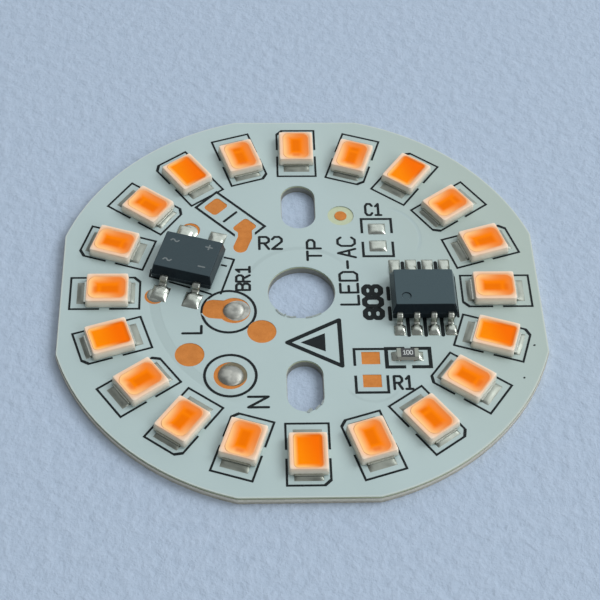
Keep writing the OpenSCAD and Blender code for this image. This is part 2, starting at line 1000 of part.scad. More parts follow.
// Bars between the leads, and marks along both ends of the driver
module driver_marks() {
    y0 = driver_w / 2;
    y1 = driver_pad_end - ink_bold_w / 2;
    end_x = driver_l / 2 + ink_mid_w / 2;
    translate(driver_pads_at) {
        for (row = [-1, 1], k = [1:driver_side_leads - 1]) {
            x = (k - driver_side_leads / 2) * driver_pitch;
            strip([x, row * y0], [x, row * y1 - driver_slip / 2], ink_bold_w);
        }
        strip([end_x, -driver_w / 2], [end_x, driver_w / 2], ink_mid_w);
        for (y = [0, -driver_w / 2])
            strip([-end_x, y - bracket_gap / 4], [-end_x, y + bracket_gap], ink_bold_w);
    }
}

// Bold box round the chip resistor, open in the middle of both long sides
module resistor_marks() {
    x = resistor_l / 2 + resistor_toe + solder_clear + 2 * ink_bold_w;
    y = resistor_w / 2 + solder_clear + 2 * ink_bold_w;
    translate(resistor_at + resistor_mark_off)
        difference() {
            pad(2 * x, 2 * y);
            pad(2 * x, 2 * y, -ink_bold_w);
            square([bracket_gap / 2, 2 * y + ink_bold_w], center = true);
        }
}

// Brackets round the empty capacitor and resistor places
module spare_marks() {
    translate(c1_at)
        pad_bracket(c1_span) bracket_slit();
    translate(r1_mark_at)
        pad_bracket(r1_mark_span) bracket_slit();
    difference() {
        translate(r2_at)
            rotate(r2_turn + 90)
                pad_bracket(r2_span);
        polyline(concat([r2_end(1)], r2_tail), r2_tail_w + bracket_gap / 2);
    }
    translate(r2_at)
        rotate(r2_turn)
            strip([0, -pad_l / 2], [0, pad_l / 2], ink_mid_w);
}

// Outline round two pads in a row; its children are cut out of it
module pad_bracket(span) {
    difference() {
        pad(pad_l, span + pad_w, bracket_margin + ink_mid_w / 2);
        pad(pad_l, span + pad_w, bracket_margin - ink_mid_w / 2);
        children();
    }
}

module bracket_slit() {
    square([pad_l + 2 * bracket_margin + 2 * ink_mid_w, bracket_gap], center = true);
}

// Rings round the wire pads; the line ring is open where the copper tail runs out
module wire_marks() {
    difference() {
        translate(line_ring_at)
            ring(line_ring_d, ink_mid_w);
        strip(line_at, line_tail, line_tail_w + ink_mid_w);
    }
    translate(neutral_at)
        ring(neutral_ring_d, ink_mid_w);
}

base_plate();
dielectric_layer();
copper_layer();
solder_mask();
silkscreen_legend();
for (i = [0:led_n - 1])
    led_housing(i);
for (i = [0:led_n - 1])
    led_phosphor(i);
led_marked_leads();
led_plain_leads();
led_chips();
led_bond_wires();
led_solder();
bridge_body();
bridge_leads();
driver_body();
driver_leads();
resistor_body();
resistor_film();
resistor_caps();
component_solder();
wire_pad_solder();
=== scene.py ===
import math

import bpy
import numpy as np
from mathutils import Matrix, Vector


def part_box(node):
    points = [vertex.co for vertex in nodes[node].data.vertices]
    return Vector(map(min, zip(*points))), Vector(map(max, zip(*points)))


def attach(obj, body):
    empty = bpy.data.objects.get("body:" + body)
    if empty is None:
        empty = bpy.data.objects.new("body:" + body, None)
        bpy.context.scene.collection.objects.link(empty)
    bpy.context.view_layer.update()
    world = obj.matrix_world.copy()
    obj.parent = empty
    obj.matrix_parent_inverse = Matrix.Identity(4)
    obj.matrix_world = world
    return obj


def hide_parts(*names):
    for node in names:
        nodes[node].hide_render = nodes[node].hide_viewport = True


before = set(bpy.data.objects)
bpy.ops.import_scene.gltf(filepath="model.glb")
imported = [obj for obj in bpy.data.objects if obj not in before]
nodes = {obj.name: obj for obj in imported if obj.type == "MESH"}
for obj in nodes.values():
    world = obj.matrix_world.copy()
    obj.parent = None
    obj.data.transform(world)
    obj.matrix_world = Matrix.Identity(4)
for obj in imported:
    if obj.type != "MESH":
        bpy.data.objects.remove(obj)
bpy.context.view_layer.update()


# Base plate
# The board's core is half-millimetre rolled aluminium sheet. Its outline, centre hole and slots are punched,
# which leaves a bright sheared band at the top of each edge and a dull broken one below it.

MM = 0.001


def linear(hex_colour):
    """An sRGB hex colour as linear RGBA."""
    shares = [int(hex_colour[k:k + 2], 16) / 255 for k in (0, 2, 4)]
    return (*[s / 12.92 if s <= 0.04045 else ((s + 0.055) / 1.055) ** 2.4 for s in shares], 1.0)


def per_mm(size):
    """Texture scale that gives a pattern cells of this size in millimetres."""
    return 1 / (size * MM)


def add_node(material, kind, inputs=None, **settings):
    """Adds a node with its settings; an input is a value, a hex colour, or a node or output to link from."""
    node = material.node_tree.nodes.new(kind)
    for name, value in settings.items():
        setattr(node, name, value)
    for socket, value in (inputs or {}).items():
        if isinstance(value, bpy.types.Node):
            value = next(output for output in value.outputs if output.enabled)
        if isinstance(value, bpy.types.NodeSocket):
            material.node_tree.links.new(value, node.inputs[socket])
        else:
            node.inputs[socket].default_value = linear(value) if isinstance(value, str) else value
    return node


def new_material(name):
    """A node material with nothing but places in the object's own frame, and the output that gives them."""
    material = bpy.data.materials.new(name)
    material.use_nodes = True
    material.node_tree.nodes.clear()
    return material, add_node(material, "ShaderNodeTexCoord").outputs["Object"]


def dress(node_name, material):
    """Gives a CAD node its material."""
    slots = nodes[node_name].data.materials
    slots.clear()
    slots.append(material)


# Rolled aluminium with punched edges: grey metal, long rolling streaks on the faces, upright drag lines on
# the edges and a darker, rougher band low down where the sheet broke. The lines are drawn coarser than real.
plate_metal, spot = new_material("rolled_aluminium_punched_edge")
rolling = add_node(plate_metal, "ShaderNodeMapping", {
    "Vector": spot, "Scale": (per_mm(9), per_mm(0.16), per_mm(0.16)),
})
streaks = add_node(plate_metal, "ShaderNodeTexNoise", {
    "Vector": rolling, "Scale": 1.0, "Detail": 5.0, "Roughness": 0.6,
})
dragging = add_node(plate_metal, "ShaderNodeMapping", {
    "Vector": spot, "Scale": (per_mm(0.22), per_mm(0.22), per_mm(1.6)),
})
drag_lines = add_node(plate_metal, "ShaderNodeTexNoise", {
    "Vector": dragging, "Scale": 1.0, "Detail": 3.0, "Roughness": 0.55,
})
place = add_node(plate_metal, "ShaderNodeSeparateXYZ", {"Vector": spot})
ragged_line = add_node(plate_metal, "ShaderNodeMath", {
    0: drag_lines, 1: 0.16 * MM, 2: place.outputs["Z"],
}, operation="MULTIPLY_ADD")
sheared = add_node(plate_metal, "ShaderNodeMapRange", {
    "Value": ragged_line, "From Min": 0.25 * MM, "From Max": 0.36 * MM,
})
edge_colour = add_node(plate_metal, "ShaderNodeMix", {0: sheared, 6: "c9c0ae", 7: "fff6e4"}, data_type="RGBA")
lined_edge = add_node(plate_metal, "ShaderNodeMix", {
    0: drag_lines, 6: edge_colour, 7: "e0d6c2",
}, data_type="RGBA")
face_colour = add_node(plate_metal, "ShaderNodeMix", {0: streaks, 6: "8f8f8c", 7: "b7b7b3"}, data_type="RGBA")
off_centre = add_node(plate_metal, "ShaderNodeVectorMath", {0: spot, 1: (1, 1, 0)}, operation="MULTIPLY")
from_centre = add_node(plate_metal, "ShaderNodeVectorMath", {0: off_centre}, operation="LENGTH")
# Painted shade: nearer the middle than 12 mm, round the centre hole and slots, the walls take a plain darker
# grey in place of the sheared band.
at_rim = add_node(plate_metal, "ShaderNodeMapRange", {
    "Value": from_centre, "From Min": 12 * MM, "From Max": 15 * MM,
})
hole_shaded_wall_colour = add_node(plate_metal, "ShaderNodeMix", {
    0: at_rim, 6: "a19e94", 7: lined_edge,
}, data_type="RGBA")
facing = add_node(plate_metal, "ShaderNodeNewGeometry")
facing_z = add_node(plate_metal, "ShaderNodeSeparateXYZ", {"Vector": facing.outputs["True Normal"]})
is_face = add_node(plate_metal, "ShaderNodeMath", {0: facing_z.outputs["Z"]}, operation="ABSOLUTE")
plate_colour = add_node(plate_metal, "ShaderNodeMix", {
    0: is_face, 6: hole_shaded_wall_colour, 7: face_colour,
}, data_type="RGBA")
plate_rough = add_node(plate_metal, "ShaderNodeMapRange", {"Value": streaks, "To Min": 0.45, "To Max": 0.65})
plate_bump = add_node(plate_metal, "ShaderNodeBump", {
    "Height": drag_lines, "Strength": 0.35, "Distance": 0.03 * MM,
})
plate_shader = add_node(plate_metal, "ShaderNodeBsdfPrincipled", {
    "Base Color": plate_colour, "Metallic": 1.0, "Roughness": plate_rough, "Normal": plate_bump,
})
add_node(plate_metal, "ShaderNodeOutputMaterial", {"Surface": plate_shader})
dress("base_plate", plate_metal)


# Dielectric layer
# A thin film of filled epoxy glues the copper to the aluminium and keeps them apart.
# It shows as a yellow-green ring round the fiducial dot and as a fine line in the board's edge.


def grained_material(name, grain, colours, shader, spread=None, fine=None, rough=None, bump=None):
    """A material whose colour runs between two along a noise grain; shader holds its other values. Where
    given, spread says how the grain shares out the colours, and rough and bump how it, or a fine grain, gives
    roughness and relief."""
    material, spot = new_material(name)
    noise = add_node(material, "ShaderNodeTexNoise", {"Vector": spot, **grain})
    share = add_node(material, "ShaderNodeMapRange", {"Value": noise, **spread}) if spread else noise
    colour = add_node(material, "ShaderNodeMix", {0: share, 6: colours[0], 7: colours[1]}, data_type="RGBA")
    if fine:
        noise = add_node(material, "ShaderNodeTexNoise", {"Vector": spot, **fine})
    inputs = {"Base Color": colour, **shader}
    if rough:
        inputs["Roughness"] = add_node(material, "ShaderNodeMapRange", {"Value": noise, **rough})
    if bump:
        inputs["Normal"] = add_node(material, "ShaderNodeBump", {"Height": noise, **bump})
    surface = add_node(material, "ShaderNodeBsdfPrincipled", inputs)
    add_node(material, "ShaderNodeOutputMaterial", {"Surface": surface})
    return material


# Filled epoxy glue: dull yellow-green, slightly mottled by its ceramic filler, drawn coarser than real.
epoxy_glue = grained_material(
    "filled_epoxy_glue", {"Scale": per_mm(0.25), "Detail": 3.0}, ("aab38e", "bcc4a6"),
    {"Roughness": 0.45, "IOR": 1.55},
)
dress("dielectric_layer", epoxy_glue)


# Copper foil
# Etched copper makes the LED islands, pads and tracks; most of it is under the mask.
# Where the mask is open and no solder went on, it shows as flat orange pads and dots.

# Bare copper under an organic film: orange metal with a satin face, blotched a little browner by oxide.
bare_copper = grained_material(
    "filmed_bare_copper", {"Scale": per_mm(0.7), "Detail": 4.0, "Roughness": 0.6}, ("d69350", "c98647"),
    {"Metallic": 1.0}, spread={"From Min": 0.35, "From Max": 0.7}, fine={"Scale": per_mm(0.09)},
    rough={"To Min": 0.66, "To Max": 0.84}, bump={"Strength": 0.25, "Distance": 0.01 * MM},
)
dress("copper_layer", bare_copper)


# Solder mask
# White mask ink is flooded over the whole board and cured, leaving only the pads open.
# It sinks a little where the copper under it ends, so the gaps between copper areas show as faint bands.

MASK_TOP = 0.68
BOARD_R, SIDE_FLAT, END_FLAT = 19.0, 18.1, 18.35
ROLL_W = 0.18
BAND_BLUR = 0.08
BAND_FADE = 0.7
DARKENED_SIDE = (0.95, 0.3, 0)

# The bands, each given by its centre, radius and half width in millimetres and by where it shows
GAP_BANDS = [
    {"centre": (0, 0, 0), "radius": 4.4, "half": 0.16, "seen": (-1.5, 2.5, 0), "within": 5.5},
    {"centre": (0, 0, 0), "radius": 11.1, "half": 0.4, "seen": (-9.5, -6.0, 0), "within": 7.0},
    {"centre": (4.9, -8.2, 0), "radius": 2.1, "half": 0.1, "seen": (4.9, -10.4, 0), "within": 2.4},
    {"centre": (6.1, 5.5, 0), "radius": 3.3, "half": 0.12, "seen": (8.6, 6.5, 0), "within": 2.8},
]

# Cured white mask ink: pale grey with a breath of green, semi-gloss, with a soft orange-peel surface,
# a little darker and yellower towards the lamp's side as painted shade. Faint sunk bands follow the copper's
# edges, coloured darker there as painted shade. Punching rolled the rim's edge down; a paler band along it
# is a painted highlight.
mask_ink, spot = new_material("semi_gloss_white_mask_ink")
flat_place = add_node(mask_ink, "ShaderNodeVectorMath", {
    0: spot, 1: (1 / MM, 1 / MM, 0),
}, operation="MULTIPLY")
gap_share = None
for band in GAP_BANDS:
    distance = add_node(mask_ink, "ShaderNodeVectorMath", {
        0: flat_place, 1: band["centre"],
    }, operation="DISTANCE")
    off_middle = add_node(mask_ink, "ShaderNodeMath", {0: distance, 1: band["radius"]}, operation="SUBTRACT")
    away = add_node(mask_ink, "ShaderNodeMath", {0: off_middle}, operation="ABSOLUTE")
    in_band = add_node(mask_ink, "ShaderNodeMapRange", {
        "Value": away, "From Min": band["half"] + BAND_BLUR, "From Max": band["half"] - BAND_BLUR,
    }, interpolation_type="SMOOTHSTEP")
    from_sight = add_node(mask_ink, "ShaderNodeVectorMath", {
        0: flat_place, 1: band["seen"],
    }, operation="DISTANCE")
    in_sight = add_node(mask_ink, "ShaderNodeMapRange", {
        "Value": from_sight, "From Min": band["within"], "From Max": band["within"] * BAND_FADE,
    }, interpolation_type="SMOOTHSTEP")
    shown = add_node(mask_ink, "ShaderNodeMath", {0: in_band, 1: in_sight}, operation="MULTIPLY")
    gap_share = shown if gap_share is None else add_node(mask_ink, "ShaderNodeMath", {
        0: gap_share, 1: shown,
    }, operation="MAXIMUM")
cloud = add_node(mask_ink, "ShaderNodeTexNoise", {"Vector": spot, "Scale": per_mm(6), "Detail": 3.0})
orange_peel = add_node(mask_ink, "ShaderNodeTexNoise", {"Vector": spot, "Scale": per_mm(0.45), "Detail": 2.0})
clouded = add_node(mask_ink, "ShaderNodeMix", {0: cloud, 6: "a3b5b3", 7: "acbdbb"}, data_type="RGBA")
# Painted shade: from 5 to 18 mm out towards the lamp's side, the ink is coloured darker and a little
# yellower.
towards_darkened_side = add_node(mask_ink, "ShaderNodeVectorMath", {
    0: flat_place, 1: DARKENED_SIDE,
}, operation="DOT_PRODUCT")
painted_side_shade = add_node(mask_ink, "ShaderNodeMapRange", {
    "Value": towards_darkened_side, "From Min": 5.0, "From Max": 18.0,
})
side_shaded_colour = add_node(mask_ink, "ShaderNodeMix", {0: painted_side_shade, 6: clouded, 7: "a2b0a7"}, data_type="RGBA")
# Painted shade: the sunk bands are coloured darker as well as bumped.
mask_colour = add_node(mask_ink, "ShaderNodeMix", {0: gap_share, 6: side_shaded_colour, 7: "a1b2b0"}, data_type="RGBA")
mask_rough = add_node(mask_ink, "ShaderNodeMapRange", {"Value": cloud, "To Min": 0.3, "To Max": 0.42})
peel_bump = add_node(mask_ink, "ShaderNodeBump", {
    "Height": orange_peel, "Strength": 0.12, "Distance": 0.03 * MM,
})
gap_bump = add_node(mask_ink, "ShaderNodeBump", {
    "Height": gap_share, "Strength": 0.2, "Distance": 0.035 * MM, "Normal": peel_bump,
}, invert=True)
aside = add_node(mask_ink, "ShaderNodeVectorMath", {0: flat_place}, operation="ABSOLUTE")
aside_xy = add_node(mask_ink, "ShaderNodeSeparateXYZ", {"Vector": aside})
from_middle = add_node(mask_ink, "ShaderNodeVectorMath", {0: flat_place}, operation="LENGTH")
to_rim = None
for reach, away in ((SIDE_FLAT, aside_xy.outputs["X"]), (END_FLAT, aside_xy.outputs["Y"]),
                    (BOARD_R, from_middle)):
    left_over = add_node(mask_ink, "ShaderNodeMath", {0: reach, 1: away}, operation="SUBTRACT")
    to_rim = left_over if to_rim is None else add_node(mask_ink, "ShaderNodeMath", {
        0: to_rim, 1: left_over,
    }, operation="MINIMUM")
rolled = add_node(mask_ink, "ShaderNodeMapRange", {"Value": to_rim, "From Min": ROLL_W, "From Max": 0.0})
# Painted highlight: a paler band along the rim's rolled edge.
rim_with_painted_highlight = add_node(mask_ink, "ShaderNodeMix", {0: rolled, 6: mask_colour, 7: "c8ccc2"}, data_type="RGBA")
roll = add_node(mask_ink, "ShaderNodeMath", {0: rolled, 1: 2.0}, operation="POWER")
roll_bump = add_node(mask_ink, "ShaderNodeBump", {
    "Height": roll, "Strength": 0.2, "Distance": 0.06 * MM, "Normal": gap_bump,
}, invert=True)
mask_shader = add_node(mask_ink, "ShaderNodeBsdfPrincipled", {
    "Base Color": rim_with_painted_highlight, "Roughness": mask_rough, "IOR": 1.5, "Normal": roll_bump,
})
add_node(mask_ink, "ShaderNodeOutputMaterial", {"Surface": mask_shader})
dress("solder_mask", mask_ink)


# Printed legend
# Black marking ink is screen-printed on the mask. The frame's own solid has nearly all the boxes, brackets
# and rings. The rest of them, the designators, wire letters and pointer are round-ended strokes drawn here.

INK_T = 0.015
INK_DIP = 0.025
LETTER_STROKE, NUMBER_STROKE, LINE_STROKE, SPECK_STROKE, POINTER_STROKE = 0.2, 0.4, 0.16, 0.13, 0.32
RING_X, RING_Y, RING_R = -5.48, -1.86, 2.04
CHAR_W = 0.62
CHAR_PITCH = 0.84
STROKE_STEP = 0.0005
LEVEL = 0.9999

# Black marking ink: near-black with a blue-green tinge, slightly uneven cover, dull.
marking_ink = grained_material(
    "screen_printed_marking_ink", {"Scale": per_mm(0.3), "Detail": 3.0}, ("070d0f", "161f20"),
    {"Roughness": 0.65, "IOR": 1.5, "Specular IOR Level": 0.2},
)
dress("silkscreen_legend", marking_ink)

# Stroke letters on a cell one high and CHAR_W wide
RIGHT, LEFT_IN, RIGHT_IN = CHAR_W, 0.16, CHAR_W - 0.16
GLYPHS = {
    "0": [[(0, .2), (0, .8), (LEFT_IN, 1), (RIGHT_IN, 1), (RIGHT, .8), (RIGHT, .2), (RIGHT_IN, 0),
           (LEFT_IN, 0), (0, .2)]],
    "1": [[(.12, .78), (.36, 1), (.36, 0)], [(.1, 0), (RIGHT, 0)]],
    "2": [[(0, .8), (LEFT_IN, 1), (RIGHT_IN, 1), (RIGHT, .82), (RIGHT, .6), (0, 0), (RIGHT, 0)]],
    "8": [[(LEFT_IN, .52), (0, .7), (0, .85), (LEFT_IN, 1), (RIGHT_IN, 1), (RIGHT, .85), (RIGHT, .7),
           (RIGHT_IN, .52), (LEFT_IN, .52), (0, .36), (0, .16), (LEFT_IN, 0), (RIGHT_IN, 0), (RIGHT, .16),
           (RIGHT, .36), (RIGHT_IN, .52)]],
    "A": [[(0, 0), (.31, 1), (RIGHT, 0)], [(.12, .36), (.5, .36)]],
    "B": [[(0, 0), (0, 1), (RIGHT_IN, 1), (RIGHT, .86), (RIGHT, .68), (RIGHT_IN, .54), (0, .54)],
          [(RIGHT_IN, .54), (RIGHT, .4), (RIGHT, .14), (RIGHT_IN, 0), (0, 0)]],
    "C": [[(RIGHT, .82), (RIGHT_IN, 1), (LEFT_IN, 1), (0, .8), (0, .2), (LEFT_IN, 0), (RIGHT_IN, 0),
           (RIGHT, .18)]],
    "D": [[(0, 0), (0, 1), (RIGHT_IN, 1), (RIGHT, .8), (RIGHT, .2), (RIGHT_IN, 0), (0, 0)]],
    "E": [[(RIGHT, 1), (0, 1), (0, 0), (RIGHT, 0)], [(0, .52), (RIGHT_IN, .52)]],
    "L": [[(0, 1), (0, 0), (RIGHT, 0)]],
    "N": [[(0, 0), (0, 1), (RIGHT, 0), (RIGHT, 1)]],
    "P": [[(0, 0), (0, 1), (RIGHT_IN, 1), (RIGHT, .84), (RIGHT, .6), (RIGHT_IN, .45), (0, .45)]],
    "R": [[(0, 0), (0, 1), (RIGHT_IN, 1), (RIGHT, .84), (RIGHT, .62), (RIGHT_IN, .48), (0, .48)],
          [(.3, .48), (RIGHT, 0)]],
    "T": [[(0, 1), (RIGHT, 1)], [(.31, 1), (.31, 0)]],
    "-": [[(.06, .5), (.56, .5)]],
    "+": [[(.06, .5), (.56, .5)], [(.31, .25), (.31, .75)]],
    "~": [[(0, .45), (.1, .6), (.22, .6), (.4, .4), (.52, .4), (RIGHT, .55)]],
}


def lettering(text, middle, width, height, turn):
    """Stroke lines of a text of this size about its middle, turned anticlockwise by turn degrees."""
    cells = (len(text) - 1) * CHAR_PITCH + CHAR_W
    cos, sin = math.cos(math.radians(turn)), math.sin(math.radians(turn))
    lines = []
    for k, letter in enumerate(text):
        for line in GLYPHS[letter]:
            placed = [(((k * CHAR_PITCH + x) / cells - 0.5) * width, (y - 0.5) * height) for x, y in line]
            lines.append([(middle[0] + x * cos - y * sin, middle[1] + x * sin + y * cos) for x, y in placed])
    return lines


def ink_strokes(lines, width, base, top):
    """Points and faces of round-ended strokes along lines, as low plates from height base up to top.
    Each one ends a hair lower than the one before, so that no two tops lie in one plane where they meet."""
    points, faces = [], []
    strokes = [(a, b) for line in lines for a, b in zip(line, line[1:])]
    for number, (a, b) in enumerate(strokes):
        level = top - STROKE_STEP * (number % 10)
        along = math.atan2(b[1] - a[1], b[0] - a[0])
        rim = []
        for end, turn in ((b, along - math.pi / 2), (a, along + math.pi / 2)):
            for k in range(7):
                at = turn + math.pi * k / 6
                rim.append((end[0] + width / 2 * math.cos(at), end[1] + width / 2 * math.sin(at)))
        first, n = len(points), len(rim)
        points += [(x, y, base) for x, y in rim] + [(x, y, level) for x, y in rim]
        faces.append([first + n + k for k in range(n)])
        faces += [[first + k, first + (k + 1) % n, first + n + (k + 1) % n, first + n + k] for k in range(n)]
    return points, faces


def build_mesh(name, shape, material, smooth=True):
    """A mesh from a shape's points in millimetres and faces; its level faces keep their flat shading."""
    points, faces = shape
    mesh = bpy.data.meshes.new(name)
    mesh.from_pydata([Vector(p) * MM for p in points], [], faces)
    for face in mesh.polygons:
        face.use_smooth = smooth and abs(face.normal.z) < LEVEL
    mesh.materials.append(material)
    return mesh


def add_piece(name, mesh, place=Matrix.Identity(4), replaces=()):
    """A piece of the module at its place, riding on the board."""
    piece = bpy.data.objects.new(name, mesh)
    bpy.context.scene.collection.objects.link(piece)
    piece.matrix_world = place
    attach(piece, "root")
    if replaces:
        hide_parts(*replaces)
    return piece


def add_shape(name, shape, material, place=Matrix.Identity(4), replaces=(), smooth=True):
    """A piece with a mesh of its own."""
    return add_piece(name, build_mesh(name, shape, material, smooth), place, replaces)


fine_print = []
for text, middle, width, height, turn in [
    ("C1", (5.92, 8.47), 1.22, 1.2, 0),
    ("R1", (7.1, -8.61), 1.32, 1.15, 0),
    ("R2", (-2.24, 4.98), 1.73, 1.25, 0),
    ("L", (-8.2, -3.57), 0.69, 1.38, 90),
    ("N", (-3.39, -10.23), 0.93, 1.44, 90),
    ("BR1", (-4.4, 1.38), 2.3, 1.01, 90),
    ("TP", (1.1, 4.23), 2.07, 1.04, 90),
    ("LED-AC", (3.62, 2.12), 6.77, 1.33, 90),
]:
    fine_print += lettering(text, middle, width, height, turn)
bold_print = lettering("808", (5.35, -1.03), 3.1, 1.26, 90)
ink_top = MASK_TOP + INK_T
legend = {
    "legend_letters": ink_strokes(fine_print, LETTER_STROKE, MASK_TOP, ink_top),
    "legend_numbers": ink_strokes(bold_print, NUMBER_STROKE, MASK_TOP, ink_top),
}

# The front of the rectifier's box, between its leads, and the line pad's ring where the mask dips at copper
ring_turns = [math.radians(a) for a in range(146, 183, 6)]
thin_lines = [
    [(-11.37, 2.29), (-11.45, 1.64), (-10.75, 1.38)],
    [(-9.95, 1.08), (-8.44, 0.51)],
    [(-7.61, 0.18), (-6.82, -0.16)],
    [(RING_X + RING_R * math.cos(a), RING_Y + RING_R * math.sin(a)) for a in ring_turns],
]
legend["legend_lines"] = ink_strokes(thin_lines, LINE_STROKE, MASK_TOP - INK_DIP, ink_top)

specks = [[(17.0, -5.29), (17.06, -5.26)], [(15.9, -8.28), (15.94, -8.26)]]
legend["ink_specks"] = ink_strokes(specks, SPECK_STROKE, MASK_TOP, ink_top)

pointer_tips = [(-1.2, -4.85), (2.7, -2.75), (2.75, -7.05)]
arrow_tips = [(-0.2, -4.85), (1.6, -4.0), (1.6, -5.7)]
points, faces = ink_strokes([pointer_tips + pointer_tips[:1]], POINTER_STROKE, MASK_TOP, ink_top)
first = len(points)
points += [(x, y, z) for z in (MASK_TOP, ink_top) for x, y in arrow_tips]
faces.append([first + 3, first + 5, first + 4])
faces += [[first + k, first + 3 + k, first + 3 + (k + 1) % 3, first + (k + 1) % 3] for k in range(3)]
legend["legend_pointer"] = points, faces

for name, shape in legend.items():
    add_shape(name, shape, marking_ink, smooth=False)


# Punching burrs
# Where the punch came through last, the board's edge tore: slivers of aluminium, smeared with glue and mask
# ink, stand up at the near edges of the centre hole and of a slot.

PLATE_T = 0.5
BURR_W, BURR_ROOT, BURR_RISE = 0.13, 0.15, 0.04
burr_lines = [
    [(-1.92, -1.72), (-1.72, -2.02), (-1.5, -2.2)],
    [(-1.36, -2.3), (-1.28, -2.2)],
    [(-1.1, -2.36), (-0.8, -2.46), (-0.55, -2.42)],
    [(0.3, -2.5), (0.7, -2.42), (1.05, -2.29), (1.36, -2.12)],
    [(0.1, -11.14), (0.3, -10.9)],
    [(0.2, -11.16), (0.38, -10.94)],
    [(0.72, -10.86), (0.95, -10.6)],
    [(1.13, -10.46), (1.24, -10.2)],
]

# Torn aluminium smeared with glue and ink: a dull, uneven mid-grey.
torn_edge = grained_material(
    "smeared_torn_aluminium", {"Scale": per_mm(0.2)}, ("6c7573", "a4aeab"), {"Roughness": 0.6, "IOR": 1.5},
)
burrs = ink_strokes(burr_lines, BURR_W, PLATE_T - BURR_ROOT, MASK_TOP + BURR_RISE)
add_shape("punching_burrs", burrs, torn_edge, smooth=False)


# LED lead plates, chips and bond wires
# Each LED stands on two flat lead plates stamped from tinned copper strip, whose ends show past the housing.
# The chip is glued on the longer plate and joined by two gold wires, all under the phosphor.

STAMPED_SOFT = 0.03
JOIN_WITHIN = 0.002


def soften(node_name, edges, width, harden=False):
    """Rounds the edges of a CAD node as shown, by a bevel of this width."""
    weld = nodes[node_name].modifiers.new("joined_edges", "WELD")
    weld.merge_threshold = JOIN_WITHIN * MM
    bevel = nodes[node_name].modifiers.new(edges, "BEVEL")
    bevel.width = width * MM
    bevel.segments = 2
    bevel.harden_normals = harden


# Matt tin plating: light-grey metal, blurred reflections, faint rolling lines drawn coarser than real.
tin_plating = grained_material(
    "matt_tin_plating", {"Scale": per_mm(0.14), "Detail": 3.0}, ("91948c", "bdc0b7"), {"Metallic": 1.0},
    rough={"To Min": 0.22, "To Max": 0.42}, bump={"Strength": 0.3, "Distance": 0.015 * MM},
)

# Sapphire die: pale blue-grey and glossy, with the fine grid of its contact fingers.
sapphire, spot = new_material("clear_sapphire_die")
fingers = add_node(sapphire, "ShaderNodeTexVoronoi", {
    "Vector": spot, "Scale": per_mm(0.2),
}, distance="CHEBYCHEV")
die_colour = add_node(sapphire, "ShaderNodeMix", {0: fingers, 6: "aebfcc", 7: "d5e0e8"}, data_type="RGBA")
die_shader = add_node(sapphire, "ShaderNodeBsdfPrincipled", {
    "Base Color": die_colour, "Roughness": 0.12, "IOR": 1.77,
})
add_node(sapphire, "ShaderNodeOutputMaterial", {"Surface": die_shader})

# Drawn gold wire: smooth yellow metal with faint draw marks.
gold = grained_material(
    "drawn_gold_wire", {"Scale": per_mm(0.05)}, ("d9a93f", "f2cf78"), {"Metallic": 1.0, "Roughness": 0.2},
)

dress("led_marked_leads", tin_plating)
dress("led_plain_leads", tin_plating)
dress("led_chips", sapphire)
dress("led_bond_wires", gold)
for name in ("led_marked_leads", "led_plain_leads"):
    soften(name, "stamped_edges", STAMPED_SOFT, harden=True)


# LED housings
# Each housing is white filled resin moulded round the lead plates: a drafted block with a sloped cup
# and a round-cornered window. Every second LED is turned end for end.

SEAT_Z = 0.705
LED_COUNT = 20
LED_RING_R = 14.75
LED_SHIFT = 0.18
HOUSING_L = 3.2
HOUSING_W = 2.8
HOUSING_H = 0.7
HOUSING_DRAFT = 0.06
HOUSING_R = 0.09
WINDOW_L = 2.82
WINDOW_W = 2.08
WINDOW_R = {"light": 0.56, "deep": 0.3}
CUP_SLOPE = 0.2
LEAD_PLATE_T = 0.18
SOFT = 0.035
DRAFT_EASE = 0.005
RIM_GLOW, WALL_GLOW = 0.62, 0.5


def led_place(i):
    """Place of LED i's housing, middle on its seat: i counts clockwise from the far side."""
    ring = Matrix.Rotation(math.radians(90 - 360 / LED_COUNT * i), 4, "Z")
    out = Matrix.Translation(Vector((LED_RING_R, 0, SEAT_Z)) * MM)
    turn = Matrix.Rotation(math.pi * (i % 2), 4, "Z")
    return ring @ out @ turn @ Matrix.Translation(Vector((LED_SHIFT, 0, 0)) * MM)


def rounded_box(length, width, corner_r, seen_from=(0.0, 0.0), count=96):
    """Points round a round-cornered box, at equal turns as seen from a point."""
    x, y = length / 2 - corner_r, width / 2 - corner_r
    corners = np.array([(x, y), (-x, y), (-x, -y), (x, -y)])
    turns = np.linspace(0, 2 * math.pi, 180, endpoint=False)
    away = np.stack([np.cos(turns), np.sin(turns)], 1)
    rim = corners[np.argmax(away @ corners.T, 1)] + corner_r * away
    rim = np.concatenate([np.linspace(a, b, 16, endpoint=False) for a, b in zip(rim, np.roll(rim, -1, 0))])
    rim -= np.array(seen_from)
    bearings = np.arctan2(rim[:, 1], rim[:, 0])
    order = np.argsort(bearings)
    looks = np.linspace(0, 2 * math.pi, count, endpoint=False)
    reach = np.interp(looks, bearings[order], np.hypot(*rim.T)[order], period=2 * math.pi)
    return np.array(seen_from) + reach[:, None] * np.stack([np.cos(looks), np.sin(looks)], 1)


def loft(levels):
    """Points and faces of a closed skin through (outline, height) levels with equal numbers of points."""
    n = len(levels[0][0])
    points = [(x, y, z) for outline, z in levels for x, y in outline]
    faces = [list(range(n))[::-1], [(len(levels) - 1) * n + k for k in range(n)]]
    for row in range(len(levels) - 1):
        low, high = row * n, (row + 1) * n
        faces += [[low + k, low + (k + 1) % n, high + (k + 1) % n, high + k] for k in range(n)]
    return points, faces


def housing_outline(inset):
    """Outline of a housing's walls, set in from its foot by inset."""
    return rounded_box(HOUSING_L - 2 * inset, HOUSING_W - 2 * inset, HOUSING_R)


def window_outline(kind, inset):
    """Outline of a window of this kind, set in by inset."""
    return rounded_box(WINDOW_L - 2 * inset, WINDOW_W - 2 * inset, WINDOW_R[kind])


def led_kind(i):
    """One LED in four is of the deeper orange kind, with tighter window corners."""
    return "deep" if i % 4 == 2 else "light"


